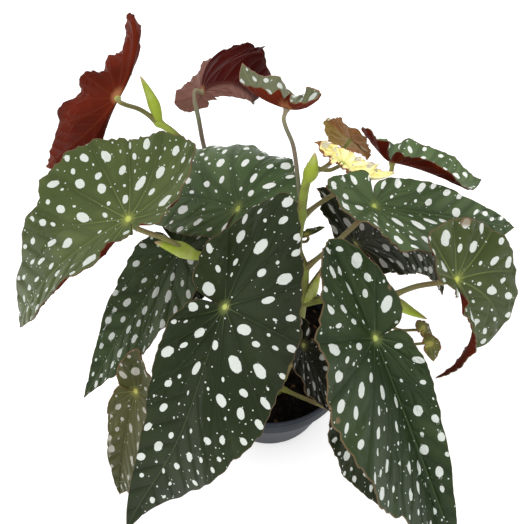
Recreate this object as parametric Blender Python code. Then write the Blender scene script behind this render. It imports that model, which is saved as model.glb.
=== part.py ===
"""Potted polka dot begonia: a low nursery pot full of soil, three canes and two short shoots,
and angel-wing leaves on thin leaf stalks.

Frame: the origin is the centre of the pot's underside, +Z up, and -Y is the front of the plant.
Sizes below are in millimetres and degrees, and the meshes are made in metres."""
import bpy
import bmesh
from math import sin, cos, pi, radians, hypot, atan2, exp
from mathutils import Vector

MM = 0.001

# pot
POT_HEIGHT = 72.0
POT_RIM_RADIUS = 54.0
POT_RIM_BAND = 15.0
POT_BASE_RADIUS = 38.0
POT_WALL = 1.8
POT_FLOOR = 3.0
POT_SIDES = 44
FIT_GAP = 0.3

# soil
SOIL_TOP = 62.0
SOIL_LUMP = 1.4
SOIL_SIDES = 36
SOIL_RINGS = (0.16, 0.34, 0.52, 0.70, 0.86, 1.0)
HOLE_FLOOR = 46.0
CANE_FOOT = HOLE_FLOOR + FIT_GAP
CANE_STRAIGHT_TO = 67.0

# leaves: one blade thickness for all, and the share of the blade each ring of the mesh stands at
BLADE = 0.8
TIP_GAP = 0.8
STALK = 1.25
LARGE = dict(spokes=28, rings=(0.07, 0.38, 0.72, 1.0))
MEDIUM = dict(spokes=22, rings=(0.1, 0.55, 1.0))
SMALL = dict(spokes=14, rings=(0.2, 1.0))

# angel-wing outline: degrees from the tip round by the wide side, and reach as a share of length
WING = (
    (0, 1.0), (2.5, 0.93), (6, 0.865), (11, 0.80), (18, 0.70), (30, 0.60), (45, 0.51), (62, 0.44),
    (84, 0.385), (105, 0.36), (122, 0.36), (140, 0.39), (156, 0.45), (168, 0.50), (176, 0.51),
    (186, 0.46), (198, 0.35), (212, 0.27), (230, 0.21), (245, 0.165), (256, 0.115), (263, 0.03),
    (270, 0.10), (280, 0.135), (295, 0.165), (312, 0.215), (328, 0.31), (340, 0.43), (348, 0.56),
    (353, 0.70), (356.5, 0.84), (360, 1.0),
)
SINUS = 263
COCK_REACH = 0.1

# at: where the stalk meets the blade; heading: 0 points the tip at the front, 90 to the right;
# pitch: how far the tip rises; roll: lean about the midrib; hand: 1 has its wide half on the left
# of the midrib seen from above; droops, curls, sweep and fold: bends in degrees; twist and
# back_twist: turns about the midrib, towards the tip and the lobe; cock: how far the lobe rises;
# bulges: places where the outline swells (or dips, if negative): angle, spread and share
LEAVES = {
    "leaf_front_left": dict(
        at=(-21, -64, 228), heading=-21, pitch=-24, roll=24, hand=1, length=133, wide=0.7,
        narrow=1.15, back=0.85, droop=70, back_droop=19, curl_wide=4, curl_narrow=-34, sweep=-26,
        fold=-16, bulges=((302, 16, 0.15),), wave=1.2, phase=0.4, mesh=LARGE),
    "leaf_front_right": dict(
        at=(43, -76, 222), heading=29, pitch=-38, roll=-11, hand=-1, length=110, wide=1.2,
        narrow=0.9, back=0.85, droop=15, back_droop=1, curl_wide=13, curl_narrow=14, sweep=-3,
        fold=35, wave=1.4, phase=1.9, mesh=LARGE),
    "leaf_left": dict(
        at=(-65, -24, 238), heading=-67, pitch=-14, roll=12, hand=-1, length=99, wide=1.45,
        narrow=1.4, back=0.9, droop=66, back_droop=-46, curl_wide=-12, curl_narrow=-30, sweep=12,
        fold=2, bulges=((34, 7, -0.15), (346, 6, 0.1)), wave=1.5, phase=3.1, mesh=LARGE),
    "leaf_upper_centre": dict(
        at=(-17, 6, 208), heading=-123, pitch=-11, roll=-30, hand=-1, length=106, wide=1.2,
        narrow=1.2, back=0.55, droop=55, back_droop=10, curl_wide=80, curl_narrow=13, sweep=-15,
        fold=13, wave=1.2, phase=0.9, mesh=LARGE),
    "leaf_left_low": dict(
        at=(-51, 12, 165), heading=-49, pitch=-37, roll=8, hand=1, length=107, wide=0.75,
        narrow=1.35, back=1.0, droop=7, back_droop=9, curl_wide=0, curl_narrow=-3, sweep=3,
        fold=10, wave=1.2, phase=2.2, mesh=LARGE),
    "leaf_right_mid": dict(
        at=(47, -12, 232), heading=102, pitch=-23, roll=7, hand=-1, length=99, wide=1.05,
        narrow=0.95, back=0.7, droop=14, back_droop=-45, curl_wide=10, curl_narrow=4, sweep=-3,
        fold=30, wave=1.3, phase=4.0, mesh=LARGE),
    "leaf_right": dict(
        at=(79, -53, 232), heading=67, pitch=-46, roll=0, hand=1, length=68, wide=1.25,
        narrow=1.5, back=0.8, droop=68, back_droop=-7, curl_wide=27, curl_narrow=4, sweep=-15,
        fold=28, twist=39, back_twist=-7, wave=1.2, phase=5.2, mesh=LARGE),
    "leaf_back_left": dict(
        at=(-81, 63, 230), heading=-50, pitch=-44, roll=109, hand=1, length=67, wide=1.1,
        narrow=1.25, back=1.8, droop=33, back_droop=-54, curl_wide=-15, curl_narrow=-24,
        sweep=45, fold=60, twist=19, back_twist=-43, bulges=((32, 8, 0.15), (194, 8, 0.05)),
        wave=2.0, phase=1.1, mesh=LARGE),
    "leaf_back_centre": dict(
        at=(-37, 79, 220), heading=59, pitch=55, roll=-129, hand=-1, length=76, wide=1.1,
        narrow=0.6, back=0.6, droop=-40, back_droop=60, curl_wide=-60, curl_narrow=10,
        sweep=-44, fold=4, twist=44, back_twist=-2, wave=1.6, phase=2.8, mesh=LARGE),
    "leaf_shaded_right": dict(
        at=(45, 5, 180), heading=135, pitch=-28, roll=16, hand=1, length=106, wide=0.9,
        narrow=1.35, back=0.25, droop=23, back_droop=5, curl_wide=5, curl_narrow=24, sweep=-27,
        fold=8, wave=1.2, phase=0.2, mesh=LARGE),
    "leaf_shaded_left": dict(
        at=(-37, 36, 128), heading=-45, pitch=-44, roll=0, hand=-1, length=60, wide=0.9,
        narrow=1.3, back=0.9, droop=15, back_droop=5, curl_wide=5, curl_narrow=8, sweep=-5,
        fold=8, wave=1.2, phase=2.9, mesh=MEDIUM),
    "leaf_back_right": dict(
        at=(6, 12, 271), heading=-117, pitch=-5, roll=43, hand=-1, length=34, wide=1.35,
        narrow=1.9, back=1.05, droop=-27, back_droop=-56, curl_wide=20, curl_narrow=-9,
        sweep=15, fold=30, twist=33, back_twist=-90, wave=1.5, phase=3.6, mesh=MEDIUM),
    "leaf_right_top": dict(
        at=(59, 18, 230), heading=72, pitch=4, roll=-46, hand=1, length=56, wide=1.5,
        narrow=1.7, back=0.8, droop=25, back_droop=2, curl_wide=-33, curl_narrow=-27, sweep=40,
        fold=-1, twist=-16, back_twist=33, cock=36, wave=1.2, phase=4.6, mesh=MEDIUM),
    "leaf_low_centre": dict(
        at=(18, -33, 136), heading=41, pitch=-52, roll=-23, hand=-1, length=57, wide=0.95,
        narrow=1.0, back=0.95, droop=-9, back_droop=5, curl_wide=-1, curl_narrow=9, sweep=-1,
        fold=14, wave=1.0, phase=5.5, mesh=MEDIUM),
    "leaf_low_right": dict(
        at=(43, -74, 130), heading=18, pitch=-46, roll=-15, hand=-1, length=64, wide=0.7,
        narrow=1.0, back=0.95, droop=-12, back_droop=6, curl_wide=7, curl_narrow=4, sweep=-13,
        fold=9, wave=1.2, phase=0.7, mesh=MEDIUM),
    "leaf_low_left": dict(
        at=(-67, -74, 165), heading=-30, pitch=-55, roll=8, hand=1, length=76, wide=1.0,
        narrow=0.95, back=0.75, droop=20, back_droop=-45, curl_wide=3, curl_narrow=6, sweep=0,
        fold=20, wave=1.2, phase=1.6, mesh=MEDIUM),
    "leaf_young_pale": dict(
        at=(45, 64, 199), heading=166, pitch=-55, roll=25, hand=1, length=60, wide=0.8,
        narrow=1.45, back=1.0, droop=4, back_droop=-4, curl_wide=5, curl_narrow=9, sweep=18,
        fold=1, wave=0.9, phase=2.4, mesh=MEDIUM),
    "leaf_young_crumpled": dict(
        at=(33, 5, 243), heading=76, pitch=-34, roll=7, hand=1, length=31, wide=0.55,
        narrow=0.75, back=1.1, droop=13, back_droop=1, curl_wide=8, curl_narrow=13, sweep=26,
        fold=18, wave=1.1, phase=3.3, mesh=MEDIUM),
    "leaf_sprig": dict(
        at=(18, 3, 191), heading=110, pitch=12, roll=-3, hand=1, length=11, wide=0.7,
        narrow=0.9, back=1.0, droop=16, back_droop=10, curl_wide=13, curl_narrow=10, sweep=4,
        fold=0, wave=0.3, phase=0.0, mesh=SMALL),
    "leaf_small_upper": dict(
        at=(77, -43, 172), heading=60, pitch=-38, roll=2, hand=1, length=9, wide=1.5,
        narrow=2.4, back=1.2, droop=22, back_droop=10, curl_wide=14, curl_narrow=14, sweep=9,
        fold=0, wave=0.3, phase=1.0, mesh=SMALL),
    "leaf_small_lower": dict(
        at=(79.5, -50.5, 170), heading=20, pitch=-32, roll=6, hand=1, length=10, wide=1.45,
        narrow=2.3, back=1.0, droop=30, back_droop=10, curl_wide=9, curl_narrow=8, sweep=0,
        fold=4, wave=0.3, phase=2.0, mesh=SMALL),
}

# canes: the route of the axis, the radius at its foot and at its top, and the soil hole's place
CANES = {
    "cane_main": dict(
        foot=(14, -8), radii=(2.9, 2.1),
        route=((16, -10, 100), (17.5, -11, 141), (17.5, -7, 173), (13.5, -4, 188), (14.5, -1, 212),
               (15.5, 2, 228), (18, 6, 241))),
    "cane_left": dict(
        foot=(-16, 2), radii=(2.7, 2.3),
        route=((-22, 0, 110), (-27, -6, 155), (-33, -12, 190), (-41, -15, 198))),
    "cane_back": dict(
        foot=(-8, 20), radii=(2.6, 1.9),
        route=((-12, 42, 110), (-34, 68, 165), (-55, 66, 202), (-64, 69, 208))),
    "shoot_front": dict(
        foot=(6, -27), radii=(1.9, 1.4),
        route=((7, -28, 76), (9, -30, 92))),
    "shoot_left": dict(
        foot=(-18, -20), radii=(1.9, 1.4),
        route=((-22, -25, 80), (-32, -38, 102))),
}

# side branch of the main cane: route and radii
BRANCH = dict(route=((17.5, -11, 144), (28, -18, 160), (42, -28, 176), (59, -36, 192)),
              radii=(2.1, 1.8))

# leaf stalks: the cane that carries each one, where it leaves that cane, and points on its way
STALKS = {
    "leaf_front_left": ("cane_main", (17, -10.5, 118), ((-2, -34, 166),)),
    "leaf_front_right": ("cane_main", (31, -20, 163), ((36, -48, 190),)),
    "leaf_left": ("cane_left", (-41, -15, 197), ((-49, -18, 213),)),
    "leaf_upper_centre": ("cane_left", (-27, -6, 154), ((-23, 1, 182),)),
    "leaf_left_low": ("cane_left", (-22.5, -1, 116), ((-40, 3, 142),)),
    "leaf_right_mid": ("cane_main", (17.5, -7, 173), ((30, -9, 196),)),
    "leaf_right": ("cane_main", (58, -35.5, 191), ((66, -44, 213),)),
    "leaf_back_left": ("cane_back", (-63.5, 69, 208), ((-71, 68, 217),)),
    "leaf_back_centre": ("cane_back", (-21, 53.5, 134), ((-37, 65, 185), (-40, 68, 211))),
    "leaf_shaded_right": ("cane_main", (17.5, -10.5, 150), ((30, 0, 166),)),
    "leaf_shaded_left": ("cane_left", (-20, 1, 95), ((-24, 22, 112),)),
    "leaf_back_right": ("cane_main", (14.5, -1, 211), ((12.3, 3.5, 231), (9.4, 7.8, 251))),
    "leaf_right_top": ("cane_main", (14.5, -1, 210), ((30, 18, 203), (51, 23, 213))),
    "leaf_low_centre": ("shoot_front", (8, -29, 86), ((14, -26, 108),)),
    "leaf_low_right": ("shoot_front", (6.5, -27.5, 70), ((22, -36, 72), (46, -50, 80), (52, -62, 104))),
    "leaf_low_left": ("shoot_left", (-31, -37, 100), ((-52, -54, 130),)),
    "leaf_young_pale": ("cane_main", (17, 4.5, 237), ((30, 40, 203),)),
    "leaf_young_crumpled": ("cane_main", (18, 5.5, 240), ((26, 5, 238),)),
    "leaf_sprig": ("cane_main", (13.5, -2, 190), ((15.5, 0, 188),)),
    "leaf_small_upper": ("cane_main", (45, -30, 179), ((62, -43, 173),)),
    "leaf_small_lower": ("cane_main", (43, -29, 177), ((61, -44, 170), (70, -47, 164))),
}

# buds and sheaths (stipules): the cane, foot, tip, greatest radius, and where along it that is
BUDS = (
    ("cane_main", (16.3, 3.8, 231), (19.5, 7, 248), 3.7, 0.4),
    ("cane_main", (16.5, -7.5, 168), (11.5, -5.5, 190), 3.3, 0.45),
    ("cane_main", (19, -12, 145), (26, -9, 173), 3.4, 0.4),
    ("cane_main", (56, -34, 190), (76, -45.5, 186), 3.0, 0.4),
    ("cane_left", (-37.5, -13.3, 194), (-56, -21.5, 217), 4.3, 0.4),
    ("cane_back", (-61.5, 68, 207), (-70, 77, 233), 3.3, 0.4),
)

# nodes of the canes (ring swellings): the cane, centre, and radius
RINGS = (
    ("cane_main", (16.7, -10.5, 118), 3.3),
    ("cane_main", (17.5, -10.4, 146), 3.2),
    ("cane_main", (17.4, -6.6, 174), 3.2),
    ("cane_main", (14.5, -1, 211), 2.9),
    ("cane_main", (57.6, -35.3, 191), 2.8),
    ("cane_left", (-27, -6, 154), 3.0),
    ("cane_left", (-40, -14.7, 197), 2.9),
    ("cane_back", (-21, 53.5, 134), 2.9),
    ("cane_back", (-62.5, 68.2, 207), 2.7),
)

PLASTIC = ("plastic", (0.045, 0.05, 0.06), 0.5)
EARTH = ("earth", (0.03, 0.02, 0.015), 0.95)
STEM = ("stem", (0.20, 0.26, 0.07), 0.5)
GREEN = ("leaf_green", (0.05, 0.10, 0.05), 0.45)
OLIVE = ("leaf_olive", (0.13, 0.17, 0.06), 0.45)
RED = ("leaf_red", (0.20, 0.03, 0.015), 0.5)
GOLD = ("leaf_gold", (0.55, 0.42, 0.15), 0.55)
TINTS = {"leaf_back_left": RED, "leaf_back_centre": RED, "leaf_young_pale": GOLD,
         "leaf_young_crumpled": GOLD, "leaf_left": OLIVE, "leaf_right": OLIVE,
         "leaf_small_upper": OLIVE, "leaf_small_lower": OLIVE, "leaf_low_left": OLIVE}


def clear_scene():
    for obj in list(bpy.data.objects):
        bpy.data.objects.remove(obj, do_unlink=True)


def material(look):
    name, colour, roughness = look
    mat = bpy.data.materials.get(name) or bpy.data.materials.new(name)
    mat.use_nodes = True
    shader = mat.node_tree.nodes["Principled BSDF"]
    shader.inputs["Base Color"].default_value = (*colour, 1.0)
    shader.inputs["Roughness"].default_value = roughness
    shader.inputs["Metallic"].default_value = 0.0
    return mat


def mesh_object(name, points, faces, look):
    """An object from points in millimetres, with its faces turned outwards."""
    mesh = bpy.data.meshes.new(name)
    mesh.from_pydata([Vector(p) * MM for p in points], [], faces)
    bm = bmesh.new()
    bm.from_mesh(mesh)
    bmesh.ops.recalc_face_normals(bm, faces=bm.faces)
    bmesh.ops.triangulate(bm, faces=[f for f in bm.faces if len(f.verts) > 4])
    bm.to_mesh(mesh)
    bm.free()
    mesh.shade_smooth()
    obj = bpy.data.objects.new(name, mesh)
    bpy.context.scene.collection.objects.link(obj)
    if look:
        mesh.materials.append(material(look))
    return obj


# ---- leaves -------------------------------------------------------------------------------

def wing_slopes():
    """Slopes that keep the outline's curve from overshooting its points."""
    steps = [(b[1] - a[1]) / (b[0] - a[0]) for a, b in zip(WING, WING[1:])]
    slopes = [steps[0]]
    for i in range(1, len(WING) - 1):
        before = WING[i][0] - WING[i - 1][0]
        after = WING[i + 1][0] - WING[i][0]
        if steps[i - 1] * steps[i] <= 0:
            slopes.append(0.0)
        else:
            share = (2 * after + before, after + 2 * before)
            slopes.append(sum(share) / (share[0] / steps[i - 1] + share[1] / steps[i]))
    return slopes + [steps[-1]]


WING_SLOPES = wing_slopes()


def wing_reach(angle):
    """Reach of the blade, as a share of its length, at an angle in degrees from the tip."""
    angle = angle % 360.0
    i = max(k for k in range(len(WING) - 1) if WING[k][0] <= angle)
    span = WING[i + 1][0] - WING[i][0]
    t = (angle - WING[i][0]) / span
    start = (2 * t ** 3 - 3 * t ** 2 + 1) * WING[i][1]
    start += (t ** 3 - 2 * t ** 2 + t) * span * WING_SLOPES[i]
    end = (3 * t ** 2 - 2 * t ** 3) * WING[i + 1][1]
    return start + end + (t ** 3 - t ** 2) * span * WING_SLOPES[i + 1]


def edge_reach(leaf, angle):
    """The wing outline with this leaf's shallow scallops and its own bulges."""
    a = radians(angle)
    scallop = 0.016 * sin(9 * a + leaf["phase"]) + 0.010 * sin(17 * a + 2 * leaf["phase"])
    reach = wing_reach(angle) * (1.0 + scallop * min(1.0, angle / 20.0, (360.0 - angle) / 20.0))
    for centre, spread, gain in leaf.get("bulges", ()):
        away = (angle - centre + 180.0) % 360.0 - 180.0
        reach *= 1.0 + gain * exp(-(away / spread) ** 2)
    return reach


def edge_lift(leaf, angle, share):
    """How far the waves of the margin lift the blade, at a share of its reach."""
    a = radians(angle)
    beat = sin(7 * a + leaf["phase"]) + 0.5 * sin(12 * a + 2.3 * leaf["phase"])
    return leaf["wave"] * share ** 2 * beat


def bent(leaf, x, y):
    """A point of the flat blade (shares of the length, x to the tip, y to the wide side), bent."""
    x = x * leaf["back"] if x < 0 else x
    y = y * leaf["wide"] if y > 0 else y * leaf["narrow"]
    turn = radians(leaf["sweep"]) * max(x, 0.0)
    x, y = x * cos(turn) - y * sin(turn), x * sin(turn) + y * cos(turn)
    across = radians(leaf["curl_wide"]) / 0.4 if y > 0 else radians(leaf["curl_narrow"]) / 0.2
    across = across or 1e-4
    fold = -radians(leaf["fold"])
    side = 1.0 if y >= 0 else -1.0
    reach = (sin(fold + across * abs(y)) - sin(fold)) / across * side
    dip = (cos(fold) - cos(fold + across * abs(y))) / across
    twist = radians(leaf.get("twist", 0)) * max(x, 0.0)
    twist += radians(leaf.get("back_twist", 0)) * min(x, 0.0)
    reach, dip = reach * cos(twist) + dip * sin(twist), dip * cos(twist) - reach * sin(twist)
    along = radians(leaf["droop"]) if x > 0 else radians(leaf["back_droop"]) / 0.5
    along = along or 1e-4
    lean = along * x
    ahead = sin(along * abs(x)) / along * (1.0 if x >= 0 else -1.0)
    drop = (1.0 - cos(along * abs(x))) / along
    ahead, height = ahead - dip * sin(lean), -drop - dip * cos(lean)
    cock = radians(leaf.get("cock", 0)) * (1.0 - exp(min(x, 0.0) / COCK_REACH))
    flat = Vector((ahead * cos(cock) + height * sin(cock), reach * leaf["hand"],
                   height * cos(cock) - ahead * sin(cock)))
    return flat * leaf["length"]


def leaf_axes(leaf):
    """Directions to the tip, to the left of the midrib, and up out of the upper face."""
    a, b, c = (radians(leaf[k]) for k in ("heading", "pitch", "roll"))
    tip = Vector((cos(b) * sin(a), -cos(b) * cos(a), sin(b)))
    up = Vector((-sin(b) * sin(a), sin(b) * cos(a), cos(b)))
    left = up.cross(tip)
    return tip, left * cos(c) + up * sin(c), up * cos(c) - left * sin(c)


def blade_point(leaf, angle, share, offset=0.0):
    """A point of the placed blade: angle in degrees, share of the reach, offset off its middle."""
    rim = edge_reach(leaf, angle)
    a = radians(angle)
    x = rim * share * cos(a)
    y = rim * share * sin(a)
    step = 0.004
    middle = bent(leaf, x, y)
    slope_x = bent(leaf, x + step, y) - bent(leaf, x - step, y)
    slope_y = bent(leaf, x, y + step) - bent(leaf, x, y - step)
    normal = slope_x.cross(slope_y).normalized() * leaf["hand"]
    middle += normal * (edge_lift(leaf, angle, share) + offset)
    tip, left, up = leaf_axes(leaf)
    return Vector(leaf["at"]) + tip * middle.x + left * middle.y + up * middle.z


def spoke_angles(leaf, count):
    """Angles that share the outline's length evenly, with one at the tip and one at the sinus."""
    fine = [edge_reach(leaf, i * 0.5) for i in range(721)]
    rim = [(r * cos(radians(i * 0.5)), r * sin(radians(i * 0.5))) for i, r in enumerate(fine)]
    run = [0.0]
    for p, q in zip(rim, rim[1:]):
        run.append(run[-1] + hypot(q[0] - p[0], q[1] - p[1]))
    angles = []
    i = 0
    for k in range(count):
        while run[i] < run[-1] * k / count:
            i += 1
        angles.append(i * 0.5)
    nearest = min(range(count), key=lambda k: abs(angles[k] - SINUS))
    angles[nearest] = float(SINUS)
    return angles


def build_blade(name, leaf):
    """Both faces of the blade from the same spokes and rings, closed by its edge."""
    angles = spoke_angles(leaf, leaf["mesh"]["spokes"])
    rings = leaf["mesh"]["rings"]
    n = len(angles)
    points = []
    for offset in (BLADE / 2, -BLADE / 2):
        points.append(blade_point(leaf, 0.0, 0.0, offset))
        points += [blade_point(leaf, a, share, offset) for share in rings for a in angles]
    layer = 1 + n * len(rings)
    faces = []
    for k in range(n):
        m = (k + 1) % n
        faces.append((0, 1 + k, 1 + m))
        for r in range(len(rings) - 1):
            a, b = 1 + r * n + k, 1 + r * n + m
            faces += [(a, a + n, b + n), (a, b + n, b)]
    faces += [tuple(layer + i for i in reversed(face)) for face in faces]
    last = 1 + n * (len(rings) - 1)
    for k in range(n):
        a, b = last + k, last + (k + 1) % n
        faces += [(a, a + layer, b + layer), (a, b + layer, b)]
    return mesh_object(name, points, faces, TINTS.get(name, GREEN))


# ---- canes --------------------------------------------------------------------------------

def smooth_route(points, per_span):
    """A curve through the points, with per_span steps between one and the next. At each point it
    heads the way its two neighbours lie, with a pull as long as the span it is on."""
    pts = [Vector(p) for p in points]
    pts = [pts[0] * 2 - pts[1]] + pts + [pts[-1] * 2 - pts[-2]]
    out = []
    for a, b, c, d in zip(pts, pts[1:], pts[2:], pts[3:]):
        span = (c - b).length
        leave = (c - a).normalized() * span
        arrive = (d - b).normalized() * span
        for i in range(per_span):
            t = i / per_span
            p = b * (2 * t ** 3 - 3 * t ** 2 + 1) + c * (3 * t ** 2 - 2 * t ** 3)
            out.append(p + leave * (t ** 3 - 2 * t ** 2 + t) + arrive * (t ** 3 - t ** 2))
    return out + [pts[-2]]


def tube(name, path, radii, sides, look=None):
    """A closed round bar along the path, with a radius for each of its points."""
    points = []
    side = None
    for i, p in enumerate(path):
        ahead = (path[min(i + 1, len(path) - 1)] - path[max(i - 1, 0)]).normalized()
        start = Vector((1, 0, 0)) if abs(ahead.x) < 0.8 else Vector((0, 1, 0))
        side = side or start
        side = (side - ahead * side.dot(ahead)).normalized()
        other = ahead.cross(side)
        for k in range(sides):
            turn = 2 * pi * k / sides
            points.append(p + (side * cos(turn) + other * sin(turn)) * radii[i])
    faces = [tuple(reversed(range(sides)))]
    last = (len(path) - 1) * sides
    faces.append(tuple(last + k for k in range(sides)))
    for i in range(len(path) - 1):
        for k in range(sides):
            m = (k + 1) % sides
            faces.append((i * sides + k, i * sides + m, (i + 1) * sides + m, (i + 1) * sides + k))
    return mesh_object(name, points, faces, look)


def tapered(count, radii):
    return [radii[0] + (radii[1] - radii[0]) * i / (count - 1) for i in range(count)]


def cane_tube(name, cane):
    x, y = cane["foot"]
    foot = [Vector((x, y, CANE_FOOT))]
    path = foot + smooth_route(((x, y, CANE_STRAIGHT_TO),) + cane["route"], 2)
    return tube(name, path, tapered(len(path), cane["radii"]), 10, STEM)


def stalk_tube(name, leaf, start, via):
    """A leaf stalk that comes up to the underside of its blade along the blade's own normal."""
    up = leaf_axes(leaf)[2]
    dip = max(0.0, sin(-radians(leaf["fold"]))) * STALK
    end = Vector(leaf["at"]) - up * (BLADE / 2 + TIP_GAP + dip)
    path = smooth_route((start,) + via + (end - up * 5.0, end), 2)
    return tube(name, path, tapered(len(path), (STALK * 1.15, STALK * 0.9)), 8)


def bud(name, foot, tip, radius, widest):
    """A pointed sheath: slim at its foot, widest part-way, and drawn out to a point."""
    shares = (0.0, widest * 0.5, widest, 0.5 * (1 + widest), 0.9, 1.0)
    sizes = (0.45, 0.85, 1.0, 0.72, 0.3, 0.08)
    a, b = Vector(foot), Vector(tip)
    return tube(name, [a.lerp(b, s) for s in shares], [radius * s for s in sizes], 8)


def ring(name, centre, radius):
    """A short swelling round a cane, where a leaf grew."""
    mid = Vector(centre)
    lifts = (-2.2, -0.8, 0.8, 2.2)
    sizes = (0.55, 1.0, 1.0, 0.55)
    return tube(name, [mid + Vector((0, 0, z)) for z in lifts], [radius * s for s in sizes], 10)


def fuse(body, extras):
    """Join the extra solids to the body by one Boolean union, and remove them."""
    group = bpy.data.collections.new(body.name + "_extras")
    bpy.context.scene.collection.children.link(group)
    for extra in extras:
        bpy.context.scene.collection.objects.unlink(extra)
        group.objects.link(extra)
    union = body.modifiers.new("union", "BOOLEAN")
    union.operation = "UNION"
    union.operand_type = "COLLECTION"
    union.collection = group
    union.solver = "MANIFOLD"
    graph = bpy.context.evaluated_depsgraph_get()
    joined = bpy.data.meshes.new_from_object(body.evaluated_get(graph), depsgraph=graph)
    body.modifiers.clear()
    body.data = joined
    joined.materials.clear()
    joined.materials.append(material(STEM))
    for extra in extras:
        bpy.data.objects.remove(extra, do_unlink=True)
    bpy.data.collections.remove(group)


def build_cane(name, cane):
    body = cane_tube(name, cane)
    extras = []
    if name == "cane_main":
        path = smooth_route(BRANCH["route"], 2)
        extras.append(tube("branch", path, tapered(len(path), BRANCH["radii"]), 10))
    for leaf, (owner, start, via) in STALKS.items():
        if owner == name:
            extras.append(stalk_tube(leaf + "_stalk", LEAVES[leaf], start, via))
    extras += [bud("bud", *row[1:]) for row in BUDS if row[0] == name]
    extras += [ring("ring", *row[1:]) for row in RINGS if row[0] == name]
    fuse(body, extras)
    return body


# ---- pot and soil -------------------------------------------------------------------------

def lathe(name, profile, sides, look):
    """A closed profile of (radius, height) points turned about the pot's axis."""
    points = []
    starts = []
    for radius, z in profile:
        starts.append(len(points))
        if radius == 0:
            points.append((0, 0, z))
        else:
            turns = [2 * pi * k / sides for k in range(sides)]
            points += [(radius * cos(t), radius * sin(t), z) for t in turns]
    faces = []
    for i in range(len(profile) - 1):
        for k in range(sides):
            m = (k + 1) % sides
            low = (starts[i], starts[i]) if profile[i][0] == 0 else (starts[i] + k, starts[i] + m)
            top = starts[i + 1]
            high = (top, top) if profile[i + 1][0] == 0 else (top + k, top + m)
            face = list(dict.fromkeys((low[0], low[1], high[1], high[0])))
            faces.append(tuple(face))
    return mesh_object(name, points, faces, look)


def wall_radius(z):
    """Outside radius of the pot's body below its rim band."""
    band = POT_HEIGHT - POT_RIM_BAND
    return POT_BASE_RADIUS + (POT_RIM_RADIUS - 3.0 - POT_BASE_RADIUS) * z / band


def build_pot():
    band = POT_HEIGHT - POT_RIM_BAND
    top = POT_HEIGHT
    rim = POT_RIM_RADIUS
    inside = wall_radius(band) - POT_WALL
    profile = (
        (0, 0), (POT_BASE_RADIUS - 1.0, 0), (POT_BASE_RADIUS, 1.0), (wall_radius(band * 0.5), band * 0.5),
        (wall_radius(band), band), (rim - 1.3, band + 0.4), (rim - 0.8, band + 1.4), (rim, top - 2.0),
        (rim - 0.4, top - 0.5), (rim - 1.3, top), (rim - 2.2, top - 0.5), (rim - 2.7, top - 2.0),
        (rim - 3.4, band + 3.0), (inside, band - 0.5), (wall_radius(band * 0.5) - POT_WALL, band * 0.5),
        (wall_radius(POT_FLOOR) - POT_WALL, POT_FLOOR), (0, POT_FLOOR),
    )
    return lathe("pot", profile, POT_SIDES, PLASTIC)


def pot_inside(z):
    band = POT_HEIGHT - POT_RIM_BAND
    if z <= band - 0.5:
        return wall_radius(z) - POT_WALL
    low = wall_radius(band) - POT_WALL
    share = min(1.0, (z - band + 0.5) / 3.5)
    return low + (POT_RIM_RADIUS - 3.4 - low) * share


def soil_height(x, y):
    """The soil's lumpy surface, a little higher in the middle."""
    r = hypot(x, y) / POT_RIM_RADIUS
    lumps = sin(0.31 * x + 0.9) * sin(0.27 * y + 0.4) + 0.6 * sin(0.53 * x - 0.41 * y + 2.0)
    return SOIL_TOP + 1.5 * (1 - r * r) + SOIL_LUMP * lumps * max(0.0, 1 - r ** 4)


def build_soil():
    gap = FIT_GAP / cos(pi / SOIL_SIDES) + 0.25
    turns = [2 * pi * k / SOIL_SIDES for k in range(SOIL_SIDES)]
    points = [(0, 0, soil_height(0, 0))]
    for share in SOIL_RINGS:
        edge = (pot_inside(SOIL_TOP - 2) - gap) * share
        for t in turns:
            x, y = edge * cos(t), edge * sin(t)
            points.append((x, y, SOIL_TOP - 1.0 if share == 1.0 else soil_height(x, y)))
    for z in (POT_HEIGHT - POT_RIM_BAND - 0.5, POT_FLOOR + FIT_GAP):
        edge = pot_inside(z) - gap
        points += [(edge * cos(t), edge * sin(t), z) for t in turns]
    points.append((0, 0, POT_FLOOR + FIT_GAP))
    faces = []
    n = SOIL_SIDES
    levels = len(SOIL_RINGS) + 2
    for k in range(n):
        m = (k + 1) % n
        faces.append((0, 1 + k, 1 + m))
        for r in range(levels - 1):
            a, b = 1 + r * n + k, 1 + r * n + m
            faces += [(a, a + n, b + n), (a, b + n, b)]
        last = 1 + (levels - 1) * n
        faces.append((last + m, last + k, last + n))
    soil = mesh_object("soil", points, faces, EARTH)
    drills = []
    for cane in CANES.values():
        x, y = cane["foot"]
        path = [Vector((x, y, HOLE_FLOOR)), Vector((x, y, SOIL_TOP + 12))]
        size = cane["radii"][0] / cos(pi / 12) + FIT_GAP + 0.1
        drills.append(tube("drill", path, [size, size], 12))
    cut(soil, drills)
    return soil


def cut(body, drills):
    """Cut the drills out of the body, and remove them."""
    for drill in drills:
        hole = body.modifiers.new("hole", "BOOLEAN")
        hole.operation = "DIFFERENCE"
        hole.solver = "EXACT"
        hole.object = drill
    graph = bpy.context.evaluated_depsgraph_get()
    joined = bpy.data.meshes.new_from_object(body.evaluated_get(graph), depsgraph=graph)
    body.modifiers.clear()
    body.data = joined
    joined.materials.clear()
    joined.materials.append(material(EARTH))
    for drill in drills:
        bpy.data.objects.remove(drill, do_unlink=True)


def main():
    clear_scene()
    build_pot()
    build_soil()
    for name, cane in CANES.items():
        build_cane(name, cane)
    for name, leaf in LEAVES.items():
        build_blade(name, leaf)


main()
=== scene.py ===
# %% [markdown]
# # A potted polka dot begonia
#
# This lesson dresses the plain solids of a potted plant: a low nursery pot, dark potting soil,
# jointed canes with leaf stalks, and twenty-one angel-wing leaves with silvery spots. The solids
# give every place and size. Each cell below makes one kind of piece and says why it is made that
# way.

# %% Load the frame
from math import atan2, cos, degrees, hypot, pi, radians, sin

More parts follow.
